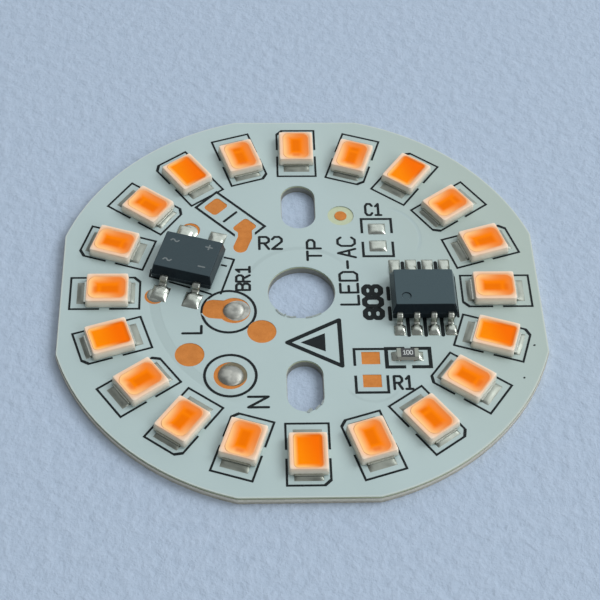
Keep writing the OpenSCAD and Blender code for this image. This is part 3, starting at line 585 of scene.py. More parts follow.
def past_window(material, position, corner_r):
    """How far a position is past the window's round-cornered edge, in metres; below 0 over the filling."""
    flat = add_node(material, "ShaderNodeVectorMath", {0: position, 1: (1, 1, 0)}, operation="MULTIPLY")
    aside = add_node(material, "ShaderNodeVectorMath", {0: flat}, operation="ABSOLUTE")
    past_bend = add_node(material, "ShaderNodeVectorMath", {
        0: aside, 1: ((WINDOW_L / 2 - corner_r) * MM, (WINDOW_W / 2 - corner_r) * MM, 0),
    }, operation="SUBTRACT")
    outside = add_node(material, "ShaderNodeVectorMath", {0: past_bend, 1: (0, 0, 0)}, operation="MAXIMUM")
    round_way = add_node(material, "ShaderNodeVectorMath", {0: outside}, operation="LENGTH")
    sides = add_node(material, "ShaderNodeSeparateXYZ", {"Vector": past_bend})
    nearer = add_node(material, "ShaderNodeMath", {
        0: sides.outputs["X"], 1: sides.outputs["Y"],
    }, operation="MAXIMUM")
    inside = add_node(material, "ShaderNodeMath", {0: nearer, 1: 0.0}, operation="MINIMUM")
    from_bend = add_node(material, "ShaderNodeMath", {0: round_way, 1: inside}, operation="ADD")
    return add_node(material, "ShaderNodeMath", {0: from_bend, 1: corner_r * MM}, operation="SUBTRACT")


# White filled resin, moulded with a fine matt skin: warm white, and tinted peach round the window and a
# little down the walls, where light from the phosphor comes through the thin rim.
white_resin, spot = new_material("moulded_white_resin")
past = past_window(white_resin, spot, WINDOW_R["light"])
past_rim = add_node(white_resin, "ShaderNodeMapRange", {
    "Value": past, "From Min": -0.02 * MM, "From Max": RIM_GLOW * MM,
})
rim_place = add_node(white_resin, "ShaderNodeSeparateXYZ", {"Vector": spot})
down_wall = add_node(white_resin, "ShaderNodeMapRange", {
    "Value": rim_place.outputs["Z"], "From Min": HOUSING_H * MM, "From Max": (HOUSING_H - WALL_GLOW) * MM,
})
wall_share = add_node(white_resin, "ShaderNodeMath", {0: down_wall, 1: 0.3}, operation="POWER")
pale_share = add_node(white_resin, "ShaderNodeMath", {0: past_rim, 1: wall_share}, operation="MAXIMUM")
resin_grain = add_node(white_resin, "ShaderNodeTexNoise", {
    "Vector": spot, "Scale": per_mm(0.3), "Detail": 3.0,
})
resin_pale = add_node(white_resin, "ShaderNodeMix", {
    0: resin_grain, 6: "dfdbcc", 7: "ede8d9",
}, data_type="RGBA")
resin_colour = add_node(white_resin, "ShaderNodeMix", {
    0: pale_share, 6: "eeb07c", 7: resin_pale,
}, data_type="RGBA")
resin_bump = add_node(white_resin, "ShaderNodeBump", {
    "Height": resin_grain, "Strength": 0.15, "Distance": 0.02 * MM,
})
resin_shader = add_node(white_resin, "ShaderNodeBsdfPrincipled", {
    "Base Color": resin_colour, "Roughness": 0.42, "IOR": 1.52, "Normal": resin_bump,
})
add_node(white_resin, "ShaderNodeOutputMaterial", {"Surface": resin_shader})

housing_meshes = {}
for kind in ("light", "deep"):
    housing_shape = loft([
        (housing_outline(SOFT), 0),
        (housing_outline(0), SOFT),
        (housing_outline(HOUSING_DRAFT - DRAFT_EASE), HOUSING_H - SOFT),
        (housing_outline(HOUSING_DRAFT + 0.3 * SOFT), HOUSING_H - 0.3 * SOFT),
        (housing_outline(HOUSING_DRAFT + SOFT), HOUSING_H),
        (window_outline(kind, -0.6 * SOFT), HOUSING_H),
        (window_outline(kind, 0), HOUSING_H - 0.6 * SOFT),
        (window_outline(kind, CUP_SLOPE), LEAD_PLATE_T),
    ])
    housing_meshes[kind] = build_mesh(kind + "_led_housing", housing_shape, white_resin)
for i in range(LED_COUNT):
    number = f"{i + 1:02d}"
    mesh = housing_meshes[led_kind(i)]
    replaced = ["led_housing_" + number]
    housing = add_piece("white_housing_" + number, mesh, led_place(i), replaced)
    housing.modifiers.new("even_shading", "WEIGHTED_NORMAL")


# LED phosphor
# The cup is filled with silicone that holds orange phosphor powder, poured and cured to a shallow meniscus.
# One LED in four has a deeper orange filling; in the others the chip shows through as a darker bar.

PHOSPHOR_TOP = HOUSING_H - 0.03
MENISCUS = [(0.03, 0.016), (0.1, 0.006), (0.25, 0.001), (0.5, 0)]
MENISCUS_RIM = 0.002
CHIP_X, CHIP_L, CHIP_W = 0.2, 1.3, 0.66
BOND_X, BOND_L, BOND_W = -0.86, 0.34, 0.6
SHADOW_BLUR = 0.17
RIM_WASH = 0.11
SEEN_DEEP = 0.18
LAMP_SIDE = (0.94, 0.34, 0)


def phosphor_material(name, corner_r, core, core_lit, pale, pale_lit, fade, bar, bar_share):
    """Silicone filled with phosphor powder: paler over fade millimetres from the window's edge, redder on the
    side that the light comes from, darker by bar_share over the chip and its bond, washed out at the rim."""
    filling, spot = new_material(name)
    past = past_window(filling, spot, corner_r)
    at_core = add_node(filling, "ShaderNodeMapRange", {
        "Value": past, "From Min": 0.0, "From Max": -fade * MM,
    }, interpolation_type="SMOOTHSTEP")
    middle = add_node(filling, "ShaderNodeObjectInfo")
    place = add_node(filling, "ShaderNodeNewGeometry")
    offset = add_node(filling, "ShaderNodeVectorMath", {
        0: place.outputs["Position"], 1: middle.outputs["Location"],
    }, operation="SUBTRACT")
    # Painted light: paler on the side away from the lamp and redder on the side towards it.
    sideways = add_node(filling, "ShaderNodeVectorMath", {0: offset, 1: LAMP_SIDE}, operation="DOT_PRODUCT")
    lit_side = add_node(filling, "ShaderNodeMapRange", {
        "Value": sideways, "From Min": -1.0 * MM, "From Max": 0.9 * MM,
    }, interpolation_type="SMOOTHSTEP")
    edge_colour = add_node(filling, "ShaderNodeMix", {0: lit_side, 6: pale, 7: pale_lit}, data_type="RGBA")
    core_colour = add_node(filling, "ShaderNodeMix", {0: lit_side, 6: core, 7: core_lit}, data_type="RGBA")
    powder = add_node(filling, "ShaderNodeTexNoise", {"Vector": spot, "Scale": per_mm(0.4), "Detail": 3.0})
    uneven = add_node(filling, "ShaderNodeMapRange", {"Value": powder, "To Min": 0.98, "To Max": 1.14})
    core_share = add_node(filling, "ShaderNodeMath", {
        0: at_core, 1: uneven,
    }, operation="MULTIPLY", use_clamp=True)
    pour = add_node(filling, "ShaderNodeMix", {
        0: core_share, 6: edge_colour, 7: core_colour,
    }, data_type="RGBA")
    at_rim = add_node(filling, "ShaderNodeMapRange", {
        "Value": past, "From Min": -RIM_WASH * MM, "From Max": 0.0, "To Max": 0.6,
    }, interpolation_type="SMOOTHSTEP")
    washed = add_node(filling, "ShaderNodeMix", {0: at_rim, 6: pour, 7: "efb384"}, data_type="RGBA")
    sunk = add_node(filling, "ShaderNodeVectorMath", {0: offset, 1: (0, SEEN_DEEP * MM, 0)}, operation="ADD")
    below = add_node(filling, "ShaderNodeVectorTransform", {
        "Vector": sunk,
    }, vector_type="VECTOR", convert_from="WORLD", convert_to="OBJECT")
    buried = add_node(filling, "ShaderNodeSeparateXYZ", {"Vector": below})
    shadows = []
    for x, length, width in ((CHIP_X, CHIP_L, CHIP_W), (BOND_X, BOND_L, BOND_W)):
        cover = []
        for axis, at, size in (("X", x, length), ("Y", 0, width)):
            away = add_node(filling, "ShaderNodeMath", {
                0: buried.outputs[axis], 1: at * MM,
            }, operation="SUBTRACT")
            span = add_node(filling, "ShaderNodeMath", {0: away}, operation="ABSOLUTE")
            cover.append(add_node(filling, "ShaderNodeMapRange", {
                "Value": span, "From Min": (size / 2 + SHADOW_BLUR) * MM,
                "From Max": (size / 2 - SHADOW_BLUR) * MM,
            }, interpolation_type="SMOOTHSTEP"))
        shadows.append(add_node(filling, "ShaderNodeMath", {0: cover[0], 1: cover[1]}, operation="MULTIPLY"))
    shadow = add_node(filling, "ShaderNodeMath", {0: shadows[0], 1: shadows[1]}, operation="MAXIMUM")
    shadow_share = add_node(filling, "ShaderNodeMath", {0: shadow, 1: bar_share}, operation="MULTIPLY")
    colour = add_node(filling, "ShaderNodeMix", {0: shadow_share, 6: washed, 7: bar}, data_type="RGBA")
    shader = add_node(filling, "ShaderNodeBsdfPrincipled", {
        "Base Color": colour, "Roughness": 0.4, "IOR": 1.41, "Specular IOR Level": 0.03,
    })
    add_node(filling, "ShaderNodeOutputMaterial", {"Surface": shader})
    return filling


# Phosphor-filled silicone: saturated orange with a faint gloss, peach where it thins out over the cup's slope
fillings = {
    "light": phosphor_material(
        "light_phosphor_silicone", WINDOW_R["light"], core="ff8400", core_lit="fc7e00", pale="ffc684",
        pale_lit="ee8640", fade=0.82, bar="e86600", bar_share=0.55,
    ),
    "deep": phosphor_material(
        "deep_phosphor_silicone", WINDOW_R["deep"], core="ff8a02", core_lit="fa6e00", pale="ffc470",
        pale_lit="e06a10", fade=0.4, bar="f47000", bar_share=0.1,
    ),
}

for kind, filling in fillings.items():
    filling_shape = loft([
        (window_outline(kind, CUP_SLOPE), LEAD_PLATE_T),
        (window_outline(kind, -0.5 * SOFT), HOUSING_H - MENISCUS_RIM),
        *[(window_outline(kind, inset), PHOSPHOR_TOP + rise) for inset, rise in MENISCUS],
    ])
    mesh = build_mesh(kind + "_phosphor", filling_shape, filling)
    for i in range(LED_COUNT):
        number = f"{i + 1:02d}"
        if led_kind(i) == kind:
            replaced = ["led_phosphor_" + number]
            add_piece("phosphor_fill_" + number, mesh, led_place(i), replaced)


# LED solder
# Solder paste was printed on the pads and melted in an oven, so it wets each lead plate's end
# and runs out to the pad's edge in a hollow fillet.

COPPER_TOP = 0.655
LEAD_END = 1.75
LED_PAD_W = 2.0
TOE_MARKED = 0.28
TOE_PLAIN = 0.5
SOLDER_EDGE = 0.02
SOLDER_SPREAD = 0.03
SOLDER_SOFT = 0.07
SOLDER_RIPPLE = 0.25
LED_SOLDER_BACK = 0.1
LED_CLIMB, LED_CLIMB_VARIES = 0.85, 0.1

# Thin reflowed tin solder: grey metal with a smooth skin, frosted by its grain.
reflowed_solder = grained_material(
    "reflowed_tin_solder", {"Scale": per_mm(0.5)}, ("7b7f77", "999d93"), {"Metallic": 1.0},
    rough={"From Min": 0.3, "From Max": 0.7, "To Min": 0.4, "To Max": 0.54},
    bump={"Strength": 0.2, "Distance": 0.03 * MM},
)


def grid_faces(rows, n):
    """Faces of a sheet through rows of n points."""
    corners = [a * n + b for a in range(rows - 1) for b in range(n - 1)]
    return [[k, k + n, k + n + 1, k + 1] for k in corners]


def solder_skin(place, back, toe, width, foot_w, climb, hollow, rough):
    """Solder on a pad from x = -back to toe, run out past it a little: it climbs a foot of width foot_w that
    ends at x = 0. Its slope is straight where hollow is 1, and sinks in for more and bulges for less. Its
    ridges are rounded."""
    toe, width = toe + SOLDER_SPREAD, width + 2 * SOLDER_SPREAD
    xs = np.concatenate([np.linspace(-back, 0, 9)[:-1], np.linspace(0, toe, 17)])
    ys = width / 2 * np.sin(np.linspace(-math.pi / 2, math.pi / 2, 33))
    x, y = np.meshgrid(xs, ys, indexing="ij")
    past_foot = SOLDER_SOFT * np.logaddexp(0, np.stack([x, np.abs(y) - foot_w / 2]) / SOLDER_SOFT)
    from_foot = np.hypot(*past_foot)
    to_sides = np.stack([toe - x, width / 2 - y, width / 2 + y, x + back + SOLDER_EDGE])
    to_edge = np.maximum(-SOLDER_SOFT * np.log(np.exp(-to_sides / SOLDER_SOFT).sum(0)), 0)
    share = from_foot / np.maximum(from_foot + to_edge, 1e-6)
    bank = 4 * share * (1 - share)
    ripple = rough * np.sin(4 * x + 3 * place[0][3] / MM) * np.cos(3 * y + 2 * place[1][3] / MM) * bank
    z = SOLDER_EDGE + (climb - SOLDER_EDGE) * np.clip(1 - share, 0, 1) ** hollow
    z = z + SOLDER_RIPPLE * climb * ripple
    flat = np.stack([x.ravel(), y.ravel(), z.ravel()], 1)
    points = [tuple((place @ Vector((px * MM, py * MM, pz * MM))) / MM) for px, py, pz in flat]
    return points, grid_faces(len(xs), len(ys))


def gather(parts):
    """Several lots of points and faces as one."""
    points, faces = [], []
    for more_points, more_faces in parts:
        faces += [[len(points) + k for k in face] for face in more_faces]
        points += more_points
    return points, faces


down_to_copper = Matrix.Translation((0, 0, (COPPER_TOP - SEAT_Z) * MM))
fillets = []
for i in range(LED_COUNT):
    for turn, toe in ((0, TOE_MARKED), (math.pi, TOE_PLAIN)):
        end = Matrix.Rotation(turn, 4, "Z") @ Matrix.Translation((LEAD_END * MM, 0, 0))
        climb = SEAT_Z - COPPER_TOP + LEAD_PLATE_T * (LED_CLIMB + LED_CLIMB_VARIES * math.sin(5 * i))
        fillets.append(solder_skin(
            down_to_copper @ led_place(i) @ end, LED_SOLDER_BACK, toe, LED_PAD_W, LED_PAD_W, climb,
            hollow=1.25, rough=0.4,
        ))
add_shape("led_solder_fillets", gather(fillets), reflowed_solder, replaces=["led_solder"])


# Bridge rectifier
# A black epoxy body moulded round four gull-wing leads of tinned copper strip, with a draft above and below
# the mould line. Its polarity marks are lasered into the top as pale grey lines.

BRIDGE_PLACE = (
    Matrix.Translation(Vector((-8.53, 2.65, SEAT_Z)) * MM) @ Matrix.Rotation(math.radians(-16.5), 4, "Z")
)
BRIDGE_L, BRIDGE_W, BRIDGE_H, BRIDGE_WAIST, BRIDGE_DRAFT = 4.78, 3.9, 1.35, 0.5, 0.18
BRIDGE_LEAD_W, BRIDGE_PITCH, BRIDGE_REACH = 0.6, 2.54, 1.35
BRIDGE_SIGNS = [("+", (1.35, 1.0)), ("-", (1.35, -1.0)), ("~", (-1.35, 1.0)), ("~", (-1.35, -1.0))]
SIGN_W, SIGN_H, SIGN_STROKE, SIGN_DEPTH, SIGN_RISE = 0.6, 0.85, 0.12, 0.01, 0.006
STANDOFF = 0.1
BODY_DRAFT, BODY_R, BODY_SOFT, BODY_EASE = 0.07, 0.05, 0.04, 0.01
MOULD_LINE, STEP_BELOW, STEP_ABOVE = 0.03, 0.012, 0.02
WAX_FILM = 0.75
TOP_FACING = 0.7
LEAD_T, LEAD_R = 0.2, 0.05
LEAD_BEND = 0.23
LEAD_SHOULDER = 0.1
LEAD_ROOT = 0.2
LEAD_TIP, LEAD_TIP_SHARE = 0.03, 0.8


def epoxy_material(name, dark, pale, wax_film=0.0):
    """Moulded black epoxy with the even grain of its mould, drawn coarser than real, scuffed here and there.
    A film of mould wax makes it pale at a glancing angle."""
    epoxy, spot = new_material(name)
    mould_grain = add_node(epoxy, "ShaderNodeTexNoise", {
        "Vector": spot, "Scale": per_mm(0.11), "Detail": 3.0, "Roughness": 0.65,
    })
    scuffs = add_node(epoxy, "ShaderNodeTexNoise", {"Vector": spot, "Scale": per_mm(1.4), "Detail": 3.0})
    epoxy_colour = add_node(epoxy, "ShaderNodeMix", {0: mould_grain, 6: dark, 7: pale}, data_type="RGBA")
    epoxy_rough = add_node(epoxy, "ShaderNodeMapRange", {"Value": scuffs, "To Min": 0.36, "To Max": 0.5})
    epoxy_bump = add_node(epoxy, "ShaderNodeBump", {
        "Height": mould_grain, "Strength": 0.25, "Distance": 0.02 * MM,
    })
    epoxy_shader = add_node(epoxy, "ShaderNodeBsdfPrincipled", {
        "Base Color": epoxy_colour, "Roughness": epoxy_rough, "IOR": 1.55, "Normal": epoxy_bump,
        "Specular IOR Level": 0.22, "Specular Tint": "d6eef4",
        "Sheen Weight": wax_film, "Sheen Roughness": 0.3, "Sheen Tint": "d6eef0",
    })
    add_node(epoxy, "ShaderNodeOutputMaterial", {"Surface": epoxy_shader})
    return epoxy


# Moulded black epoxy as the mould's polished sides leave it: near-black with a cool cast under a film of wax.
waxed_epoxy = epoxy_material("waxed_moulded_epoxy", "060d14", "0b141d", WAX_FILM)

# The same epoxy on the top face, paler than the walls as painted light on the top, somewhat darker than on
# the driver.
rectifier_lit_top_epoxy = epoxy_material("rectifier_top_epoxy_painted_light", "2c383c", "374347")

# Lasered epoxy: the burnt surface turns a dull pale grey.
laser_mark = grained_material(
    "lasered_epoxy", {"Scale": per_mm(0.12)}, ("5c6464", "6e7676"), {"Roughness": 0.7, "IOR": 1.55},
)


def moulded_body(length, width, height, waist, draft, top_levels=(), seen_from=(0.0, 0.0)):
    """Points and faces of an epoxy body on its stand-off, rounded at its edges and parted at the waist."""
    def outline(inset):
        return rounded_box(length - 2 * inset, width - 2 * inset, BODY_R, seen_from=seen_from, count=192)
    top = STANDOFF + height
    return loft([
        (outline(BODY_DRAFT + BODY_SOFT), STANDOFF),
        (outline(BODY_DRAFT), STANDOFF + BODY_SOFT),
        (outline(STEP_BELOW), STANDOFF + waist - MOULD_LINE),
        (outline(0), STANDOFF + waist),
        (outline(STEP_ABOVE), STANDOFF + waist + MOULD_LINE),
        (outline(draft - BODY_EASE), top - BODY_SOFT),
        (outline(draft + BODY_EASE), top - 0.3 * BODY_SOFT),
        (outline(draft + BODY_SOFT), top),
        *top_levels,
    ])


def paler_lit_top(mesh, top_material):
    """Gives the top of a body's mesh its own paler material, painted light on the top."""
    mesh.materials.append(top_material)
    for face in mesh.polygons:
        face.material_index = int(face.normal.z > TOP_FACING)
    return mesh


def gull_wing(place, exit_z, reach, width):
    """Points and faces of one bent lead, from inside the body to the end of its foot on the seat."""
    half_turn = np.linspace(0, math.pi / 2, 6)
    shoulder = LEAD_SHOULDER + LEAD_BEND * np.sin(half_turn), exit_z - LEAD_BEND * (1 - np.cos(half_turn))
    ankle_x = LEAD_SHOULDER + 2 * LEAD_BEND
    ankle = ankle_x - LEAD_BEND * np.cos(half_turn), LEAD_T / 2 + LEAD_BEND * (1 - np.sin(half_turn))
    run = np.concatenate([
        [(-LEAD_ROOT, exit_z)], np.stack(shoulder, 1), np.stack(ankle, 1),
        [(reach - LEAD_TIP, LEAD_T / 2), (reach, LEAD_T / 2)],
    ])
    slope = np.gradient(run, axis=0)
    slope /= np.linalg.norm(slope, axis=1)[:, None]
    section = rounded_box(width, LEAD_T, LEAD_R, count=24)
    points, n = [], len(section)
    for k, ((x, z), (dx, dz)) in enumerate(zip(run, slope)):
        shrink = LEAD_TIP_SHARE if k == len(run) - 1 else 1.0
        for side, rise in section * shrink:
            corner = np.array([x - rise * dz, side, z + rise * dx]) * MM
            points.append(tuple((place @ Vector(corner)) / MM))
    faces = [list(range(n)), [(len(run) - 1) * n + k for k in range(n)][::-1]]
    for row in range(len(run) - 1):
        low, high = row * n, (row + 1) * n
        faces += [[low + k, high + k, high + (k + 1) % n, low + (k + 1) % n] for k in range(n)]
    return points, faces


def lead_places(place, count, pitch, width):
    """Places of two rows of leads: the origin on the body's side at the seat, X pointing out."""
    places = []
    for row in (-1, 1):
        for k in range(count):
            along = row * (k - (count - 1) / 2) * -pitch
            side = Matrix.Translation(Vector((along, row * width / 2, 0)) * MM)
            places.append(place @ side @ Matrix.Rotation(row * math.pi / 2, 4, "Z"))
    return places


shape = moulded_body(BRIDGE_L, BRIDGE_W, BRIDGE_H, BRIDGE_WAIST, BRIDGE_DRAFT)
mesh = paler_lit_top(build_mesh("rectifier_body", shape, waxed_epoxy, smooth=False), rectifier_lit_top_epoxy)
add_piece("rectifier_body", mesh, BRIDGE_PLACE, ["bridge_body"])

bridge_leads = lead_places(BRIDGE_PLACE, 2, BRIDGE_PITCH, BRIDGE_W)
leads = gather([
    gull_wing(place, STANDOFF + BRIDGE_WAIST, BRIDGE_REACH, BRIDGE_LEAD_W) for place in bridge_leads
])
add_shape("rectifier_leads", leads, tin_plating, replaces=["bridge_leads"])

signs = []
for text, middle in BRIDGE_SIGNS:
    signs += lettering(text, middle, SIGN_W, SIGN_H, 0)
bridge_top = STANDOFF + BRIDGE_H
marks = ink_strokes(signs, SIGN_STROKE, bridge_top - SIGN_DEPTH, bridge_top + SIGN_RISE)
add_shape("rectifier_marks", marks, laser_mark, BRIDGE_PLACE, smooth=False)


# Driver chip
# The constant-current driver: a black epoxy body with eight gull-wing leads and a moulded dimple at pin one.
# It slipped a little on its pads when the solder melted.

DRIVER_PLACE = Matrix.Translation(Vector((9.1, -0.85, SEAT_Z)) * MM)
DRIVER_L, DRIVER_W, DRIVER_H, DRIVER_WAIST, DRIVER_DRAFT = 4.9, 3.9, 1.45, 0.68, 0.25
DRIVER_LEAD_W, DRIVER_PITCH, DRIVER_REACH = 0.46, 1.27, 1.1
DIMPLE_AT = (-1.4, -0.9)
DIMPLE_R = 0.36
DIMPLE_DEPTH = 0.08
DIMPLE_LIP, DIMPLE_SOFT, DIMPLE_DRAFT = 0.03, 0.02, 0.04

# The same epoxy on the driver's top face, greyer and paler than the walls as painted light on the top.
driver_lit_top_epoxy = epoxy_material("driver_top_epoxy_painted_light", "354347", "415054")


def dimple_outline(radius):
    """A ring of this radius round the dimple's middle."""
    looks = np.linspace(0, 2 * math.pi, 192, endpoint=False)
    return np.array(DIMPLE_AT) + radius * np.stack([np.cos(looks), np.sin(looks)], 1)


driver_top = STANDOFF + DRIVER_H
shape = moulded_body(DRIVER_L, DRIVER_W, DRIVER_H, DRIVER_WAIST, DRIVER_DRAFT, [
    (dimple_outline(DIMPLE_R + DIMPLE_LIP), driver_top),
    (dimple_outline(DIMPLE_R), driver_top - DIMPLE_SOFT),
    (dimple_outline(DIMPLE_R - DIMPLE_DRAFT), driver_top - DIMPLE_DEPTH),
], DIMPLE_AT)
mesh = paler_lit_top(build_mesh("driver_chip_body", shape, waxed_epoxy, smooth=False), driver_lit_top_epoxy)
add_piece("driver_chip_body", mesh, DRIVER_PLACE, ["driver_body"])

driver_leads = lead_places(DRIVER_PLACE, 4, DRIVER_PITCH, DRIVER_W)
leads = gather([
    gull_wing(place, STANDOFF + DRIVER_WAIST, DRIVER_REACH, DRIVER_LEAD_W) for place in driver_leads
])
add_shape("driver_chip_leads", leads, tin_plating, replaces=["driver_leads"])


# Chip resistor
# A small alumina block with a black glass glaze over its film on top and tin-plated caps wrapped round its
# ends, which the solder has wetted. Plain digits are printed on the glaze.

RESISTOR_PLACE = Matrix.Translation(Vector((7.55, -6.22, SEAT_Z)) * MM)
RESISTOR_L = 1.6
WORN_SOFT = 0.015
DIGITS_W, DIGITS_H, DIGIT_STROKE, DIGIT_DEPTH, DIGIT_RISE = 0.7, 0.36, 0.06, 0.004, 0.005

# Fired alumina: drawn a dull mid-grey, darker than its own white, slightly grainy.
alumina = grained_material(
    "darkened_fired_alumina", {"Scale": per_mm(0.1)}, ("949189", "a29f97"), {"Roughness": 0.55, "IOR": 1.7},
)
dress("resistor_body", alumina)

# Black glass glaze: glossy, with a slight waviness from firing.
glaze = grained_material(
    "black_glass_glaze", {"Scale": per_mm(0.4)}, ("15181a", "23282a"), {"Roughness": 0.22, "IOR": 1.52},
    bump={"Strength": 0.2, "Distance": 0.02 * MM},
)
dress("resistor_film", glaze)
dress("resistor_caps", reflowed_solder)
for name in ("resistor_body", "resistor_film", "resistor_caps"):
    soften(name, "worn_edges", WORN_SOFT)

# White marking ink: pale and dull, greyer where it is thin and the glaze shows through.
white_ink = grained_material(
    "white_marking_ink", {"Scale": per_mm(0.1)}, ("a9aeac", "d5d8d4"), {"Roughness": 0.5, "IOR": 1.5},
)
film_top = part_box("resistor_film")[1].z / MM - SEAT_Z
digits = lettering("100", (0, 0), DIGITS_W, DIGITS_H, 0)
digits = ink_strokes(digits, DIGIT_STROKE, film_top - DIGIT_DEPTH, film_top + DIGIT_RISE)
add_shape("resistor_digits", digits, white_ink, RESISTOR_PLACE, smooth=False)


# Component solder
# Reflowed solder holds the feet of the rectifier and the driver and the resistor's caps, in thicker joints
# than on the LEDs. On the two empty capacitor pads it melted into low pillows.

BRIDGE_PAD_END = 3.9
BRIDGE_SOLDER_W = BRIDGE_LEAD_W + 0.66
DRIVER_PAD_END = 3.7
DRIVER_SLIP = 0.3
DRIVER_SOLDER_W = DRIVER_LEAD_W + 0.36
RESISTOR_TOE, RESISTOR_BACK = 0.35, 0.25
RESISTOR_SOLDER_W, RESISTOR_CAP_W = 0.8, 0.74
PILLOW_L, PILLOW_W, PILLOW_H, PILLOW_LEAN, PILLOW_WAVE = 1.36, 1.15, 0.22, 0.15, 0.06
CAP_WAVE, CAP_TILT, CAP_SHOULDER, CAP_OVAL = 0.24, 0.3, 0.75, 0.02
SPILL_AT = (1.42, -0.2)
SPILL_R, SPILL_H, SPILL_CROWN = 0.74, 0.14, 2.2
CAPACITOR_AT = (6.07, 5.5)
CAPACITOR_SPAN = 1.78

# Thick reflowed tin solder: bright silver metal with a wavy, glossy skin that breaks up the reflections.
bright_solder = grained_material(
    "glossy_tin_solder", {"Scale": per_mm(0.45)}, ("989d95", "b9beb4"), {"Metallic": 1.0, "Roughness": 0.26},
    bump={"Strength": 0.4, "Distance": 0.06 * MM},
)

foot_back = LEAD_SHOULDER + 2 * LEAD_BEND
solder_parts = []
toe = BRIDGE_PAD_END - BRIDGE_W / 2 - BRIDGE_REACH
for place in bridge_leads:
    end = down_to_copper @ place @ Matrix.Translation((BRIDGE_REACH * MM, 0, 0))
    solder_parts.append(solder_skin(
        end, BRIDGE_REACH - foot_back, toe, BRIDGE_SOLDER_W, BRIDGE_LEAD_W,
        climb=0.28, hollow=0.65, rough=0.5,
    ))
for k, place in enumerate(driver_leads):
    toe = DRIVER_PAD_END - DRIVER_W / 2 - DRIVER_REACH + (DRIVER_SLIP if k >= 4 else -DRIVER_SLIP)
    end = down_to_copper @ place @ Matrix.Translation((DRIVER_REACH * MM, 0, 0))
    solder_parts.append(solder_skin(
        end, DRIVER_REACH - foot_back, toe, DRIVER_SOLDER_W, DRIVER_LEAD_W,
        climb=0.3, hollow=0.55, rough=0.4,
    ))
for turn in (0, math.pi):
    end = Matrix.Rotation(turn, 4, "Z") @ Matrix.Translation((RESISTOR_L / 2 * MM, 0, 0))
    solder_parts.append(solder_skin(
        down_to_copper @ RESISTOR_PLACE @ end, RESISTOR_BACK, RESISTOR_TOE, RESISTOR_SOLDER_W, RESISTOR_CAP_W,
        climb=0.34, hollow=0.9, rough=0.1,
    ))


def solder_cap(middle, radius, height, lean, crown):
    """Points and faces of a round cap of solder, slightly wavy, leaning towards the angle lean. It is domed
    at a crown of 2 and flatter on top for more."""
    rows, turns = 14, 48
    points, faces = [(middle[0], middle[1], COPPER_TOP + height)], []
    for a in range(1, rows + 1):
        out = a / rows
        for b in range(turns):
            at = 2 * math.pi * b / turns
            wave = CAP_WAVE * out ** 2 * (1 - out) * (math.sin(3 * at + lean) + 0.5 * math.sin(5 * at))
            tilt = CAP_TILT * out * (1 - out) * math.cos(at - lean)
            z = height * max((1 - out ** crown) ** CAP_SHOULDER + wave + tilt, 0)
            reach = radius * out * (1 + CAP_OVAL * math.sin(2 * at + lean))
            x, y = middle[0] + reach * math.cos(at), middle[1] + reach * math.sin(at)
            points.append((x, y, COPPER_TOP + z))
    faces += [[0, 1 + b, 1 + (b + 1) % turns] for b in range(turns)]
    for a in range(rows - 1):
        low, high = 1 + a * turns, 1 + (a + 1) * turns
        faces += [[low + b, high + b, high + (b + 1) % turns, low + (b + 1) % turns] for b in range(turns)]
    return points, faces


def solder_pillow(middle, length, width, height):
    """Points and faces of a low crowned pad of solder, highest off its middle."""
    side = np.sin(np.linspace(-math.pi / 2, math.pi / 2, 25))
    u, v = np.meshgrid(side, side, indexing="ij")
    lean = 1 - PILLOW_LEAN + PILLOW_LEAN * u + PILLOW_WAVE * np.sin(3 * v + middle[1])
    crown = (1 - u ** 4) * (1 - v ** 4) * lean
    x, y = middle[0] + u * length / 2, middle[1] + v * width / 2
    z = COPPER_TOP + SOLDER_EDGE + (height - SOLDER_EDGE) * crown
    return list(zip(x.ravel(), y.ravel(), z.ravel())), grid_faces(len(side), len(side))


for place in (bridge_leads[0], bridge_leads[3]):
    spill = place @ (Vector((*SPILL_AT, 0)) * MM) / MM
    solder_parts.append(solder_cap(spill, SPILL_R, SPILL_H, 0.0, SPILL_CROWN))
for side in (-1, 1):
    middle = (CAPACITOR_AT[0], CAPACITOR_AT[1] + side * CAPACITOR_SPAN / 2)
    solder_parts.append(solder_pillow(middle, PILLOW_L, PILLOW_W, PILLOW_H))
fillets = gather(solder_parts)
add_shape("component_solder_fillets", fillets, bright_solder, replaces=["component_solder"])


# Wire pad solder
# A round cap of solder waits on each of the two pads for the supply wires, line and neutral. They were laid
# by hand: on the line pad a thin film ran off to the right, and the neutral pad has a rim of burnt flux.

CAP_CROWN = 3.6
WIRE_CAPS = [((-5.1, -1.75), 0.82, 0.28, 0.4, CAP_CROWN), ((-5.36, -7.84), 0.92, 0.28, 2.1, CAP_CROWN)]
LINE_FILM = ((-4.87, -1.76), 0.97, 0.02, 0.0, CAP_CROWN)
FLUX_RIM = ((-5.2, -7.7), 1.08, 0.015, 0.0, CAP_CROWN)

# Hand-laid solder: duller and paler than the reflowed kind, with a frosted, mottled skin from slow cooling.
dull_solder = grained_material(
    "slow_cooled_solder", {"Scale": per_mm(0.6)}, ("8f908a", "aeaea6"), {"Metallic": 1.0, "Roughness": 0.52},
    spread={"From Min": 0.38, "From Max": 0.62}, bump={"Strength": 0.2, "Distance": 0.04 * MM},
)

# Burnt flux: a brown varnish left by the hot solder, glossy, thin in patches.
burnt_flux = grained_material(
    "burnt_flux_varnish", {"Scale": per_mm(0.5)}, ("433c28", "7a6f4e"), {"Roughness": 0.3, "IOR": 1.5},
)

caps = gather([solder_cap(*cap) for cap in (*WIRE_CAPS, LINE_FILM)])
add_shape("wire_pad_caps", caps, dull_solder, replaces=["wire_pad_solder"])
add_shape("flux_rim", solder_cap(*FLUX_RIM), burnt_flux)


# Studio
# A plain pale floor under the module, a soft lamp high on the right and a weaker one low in front of it, a
# room that is pale behind and dim in front, and the camera where the photograph was taken from.

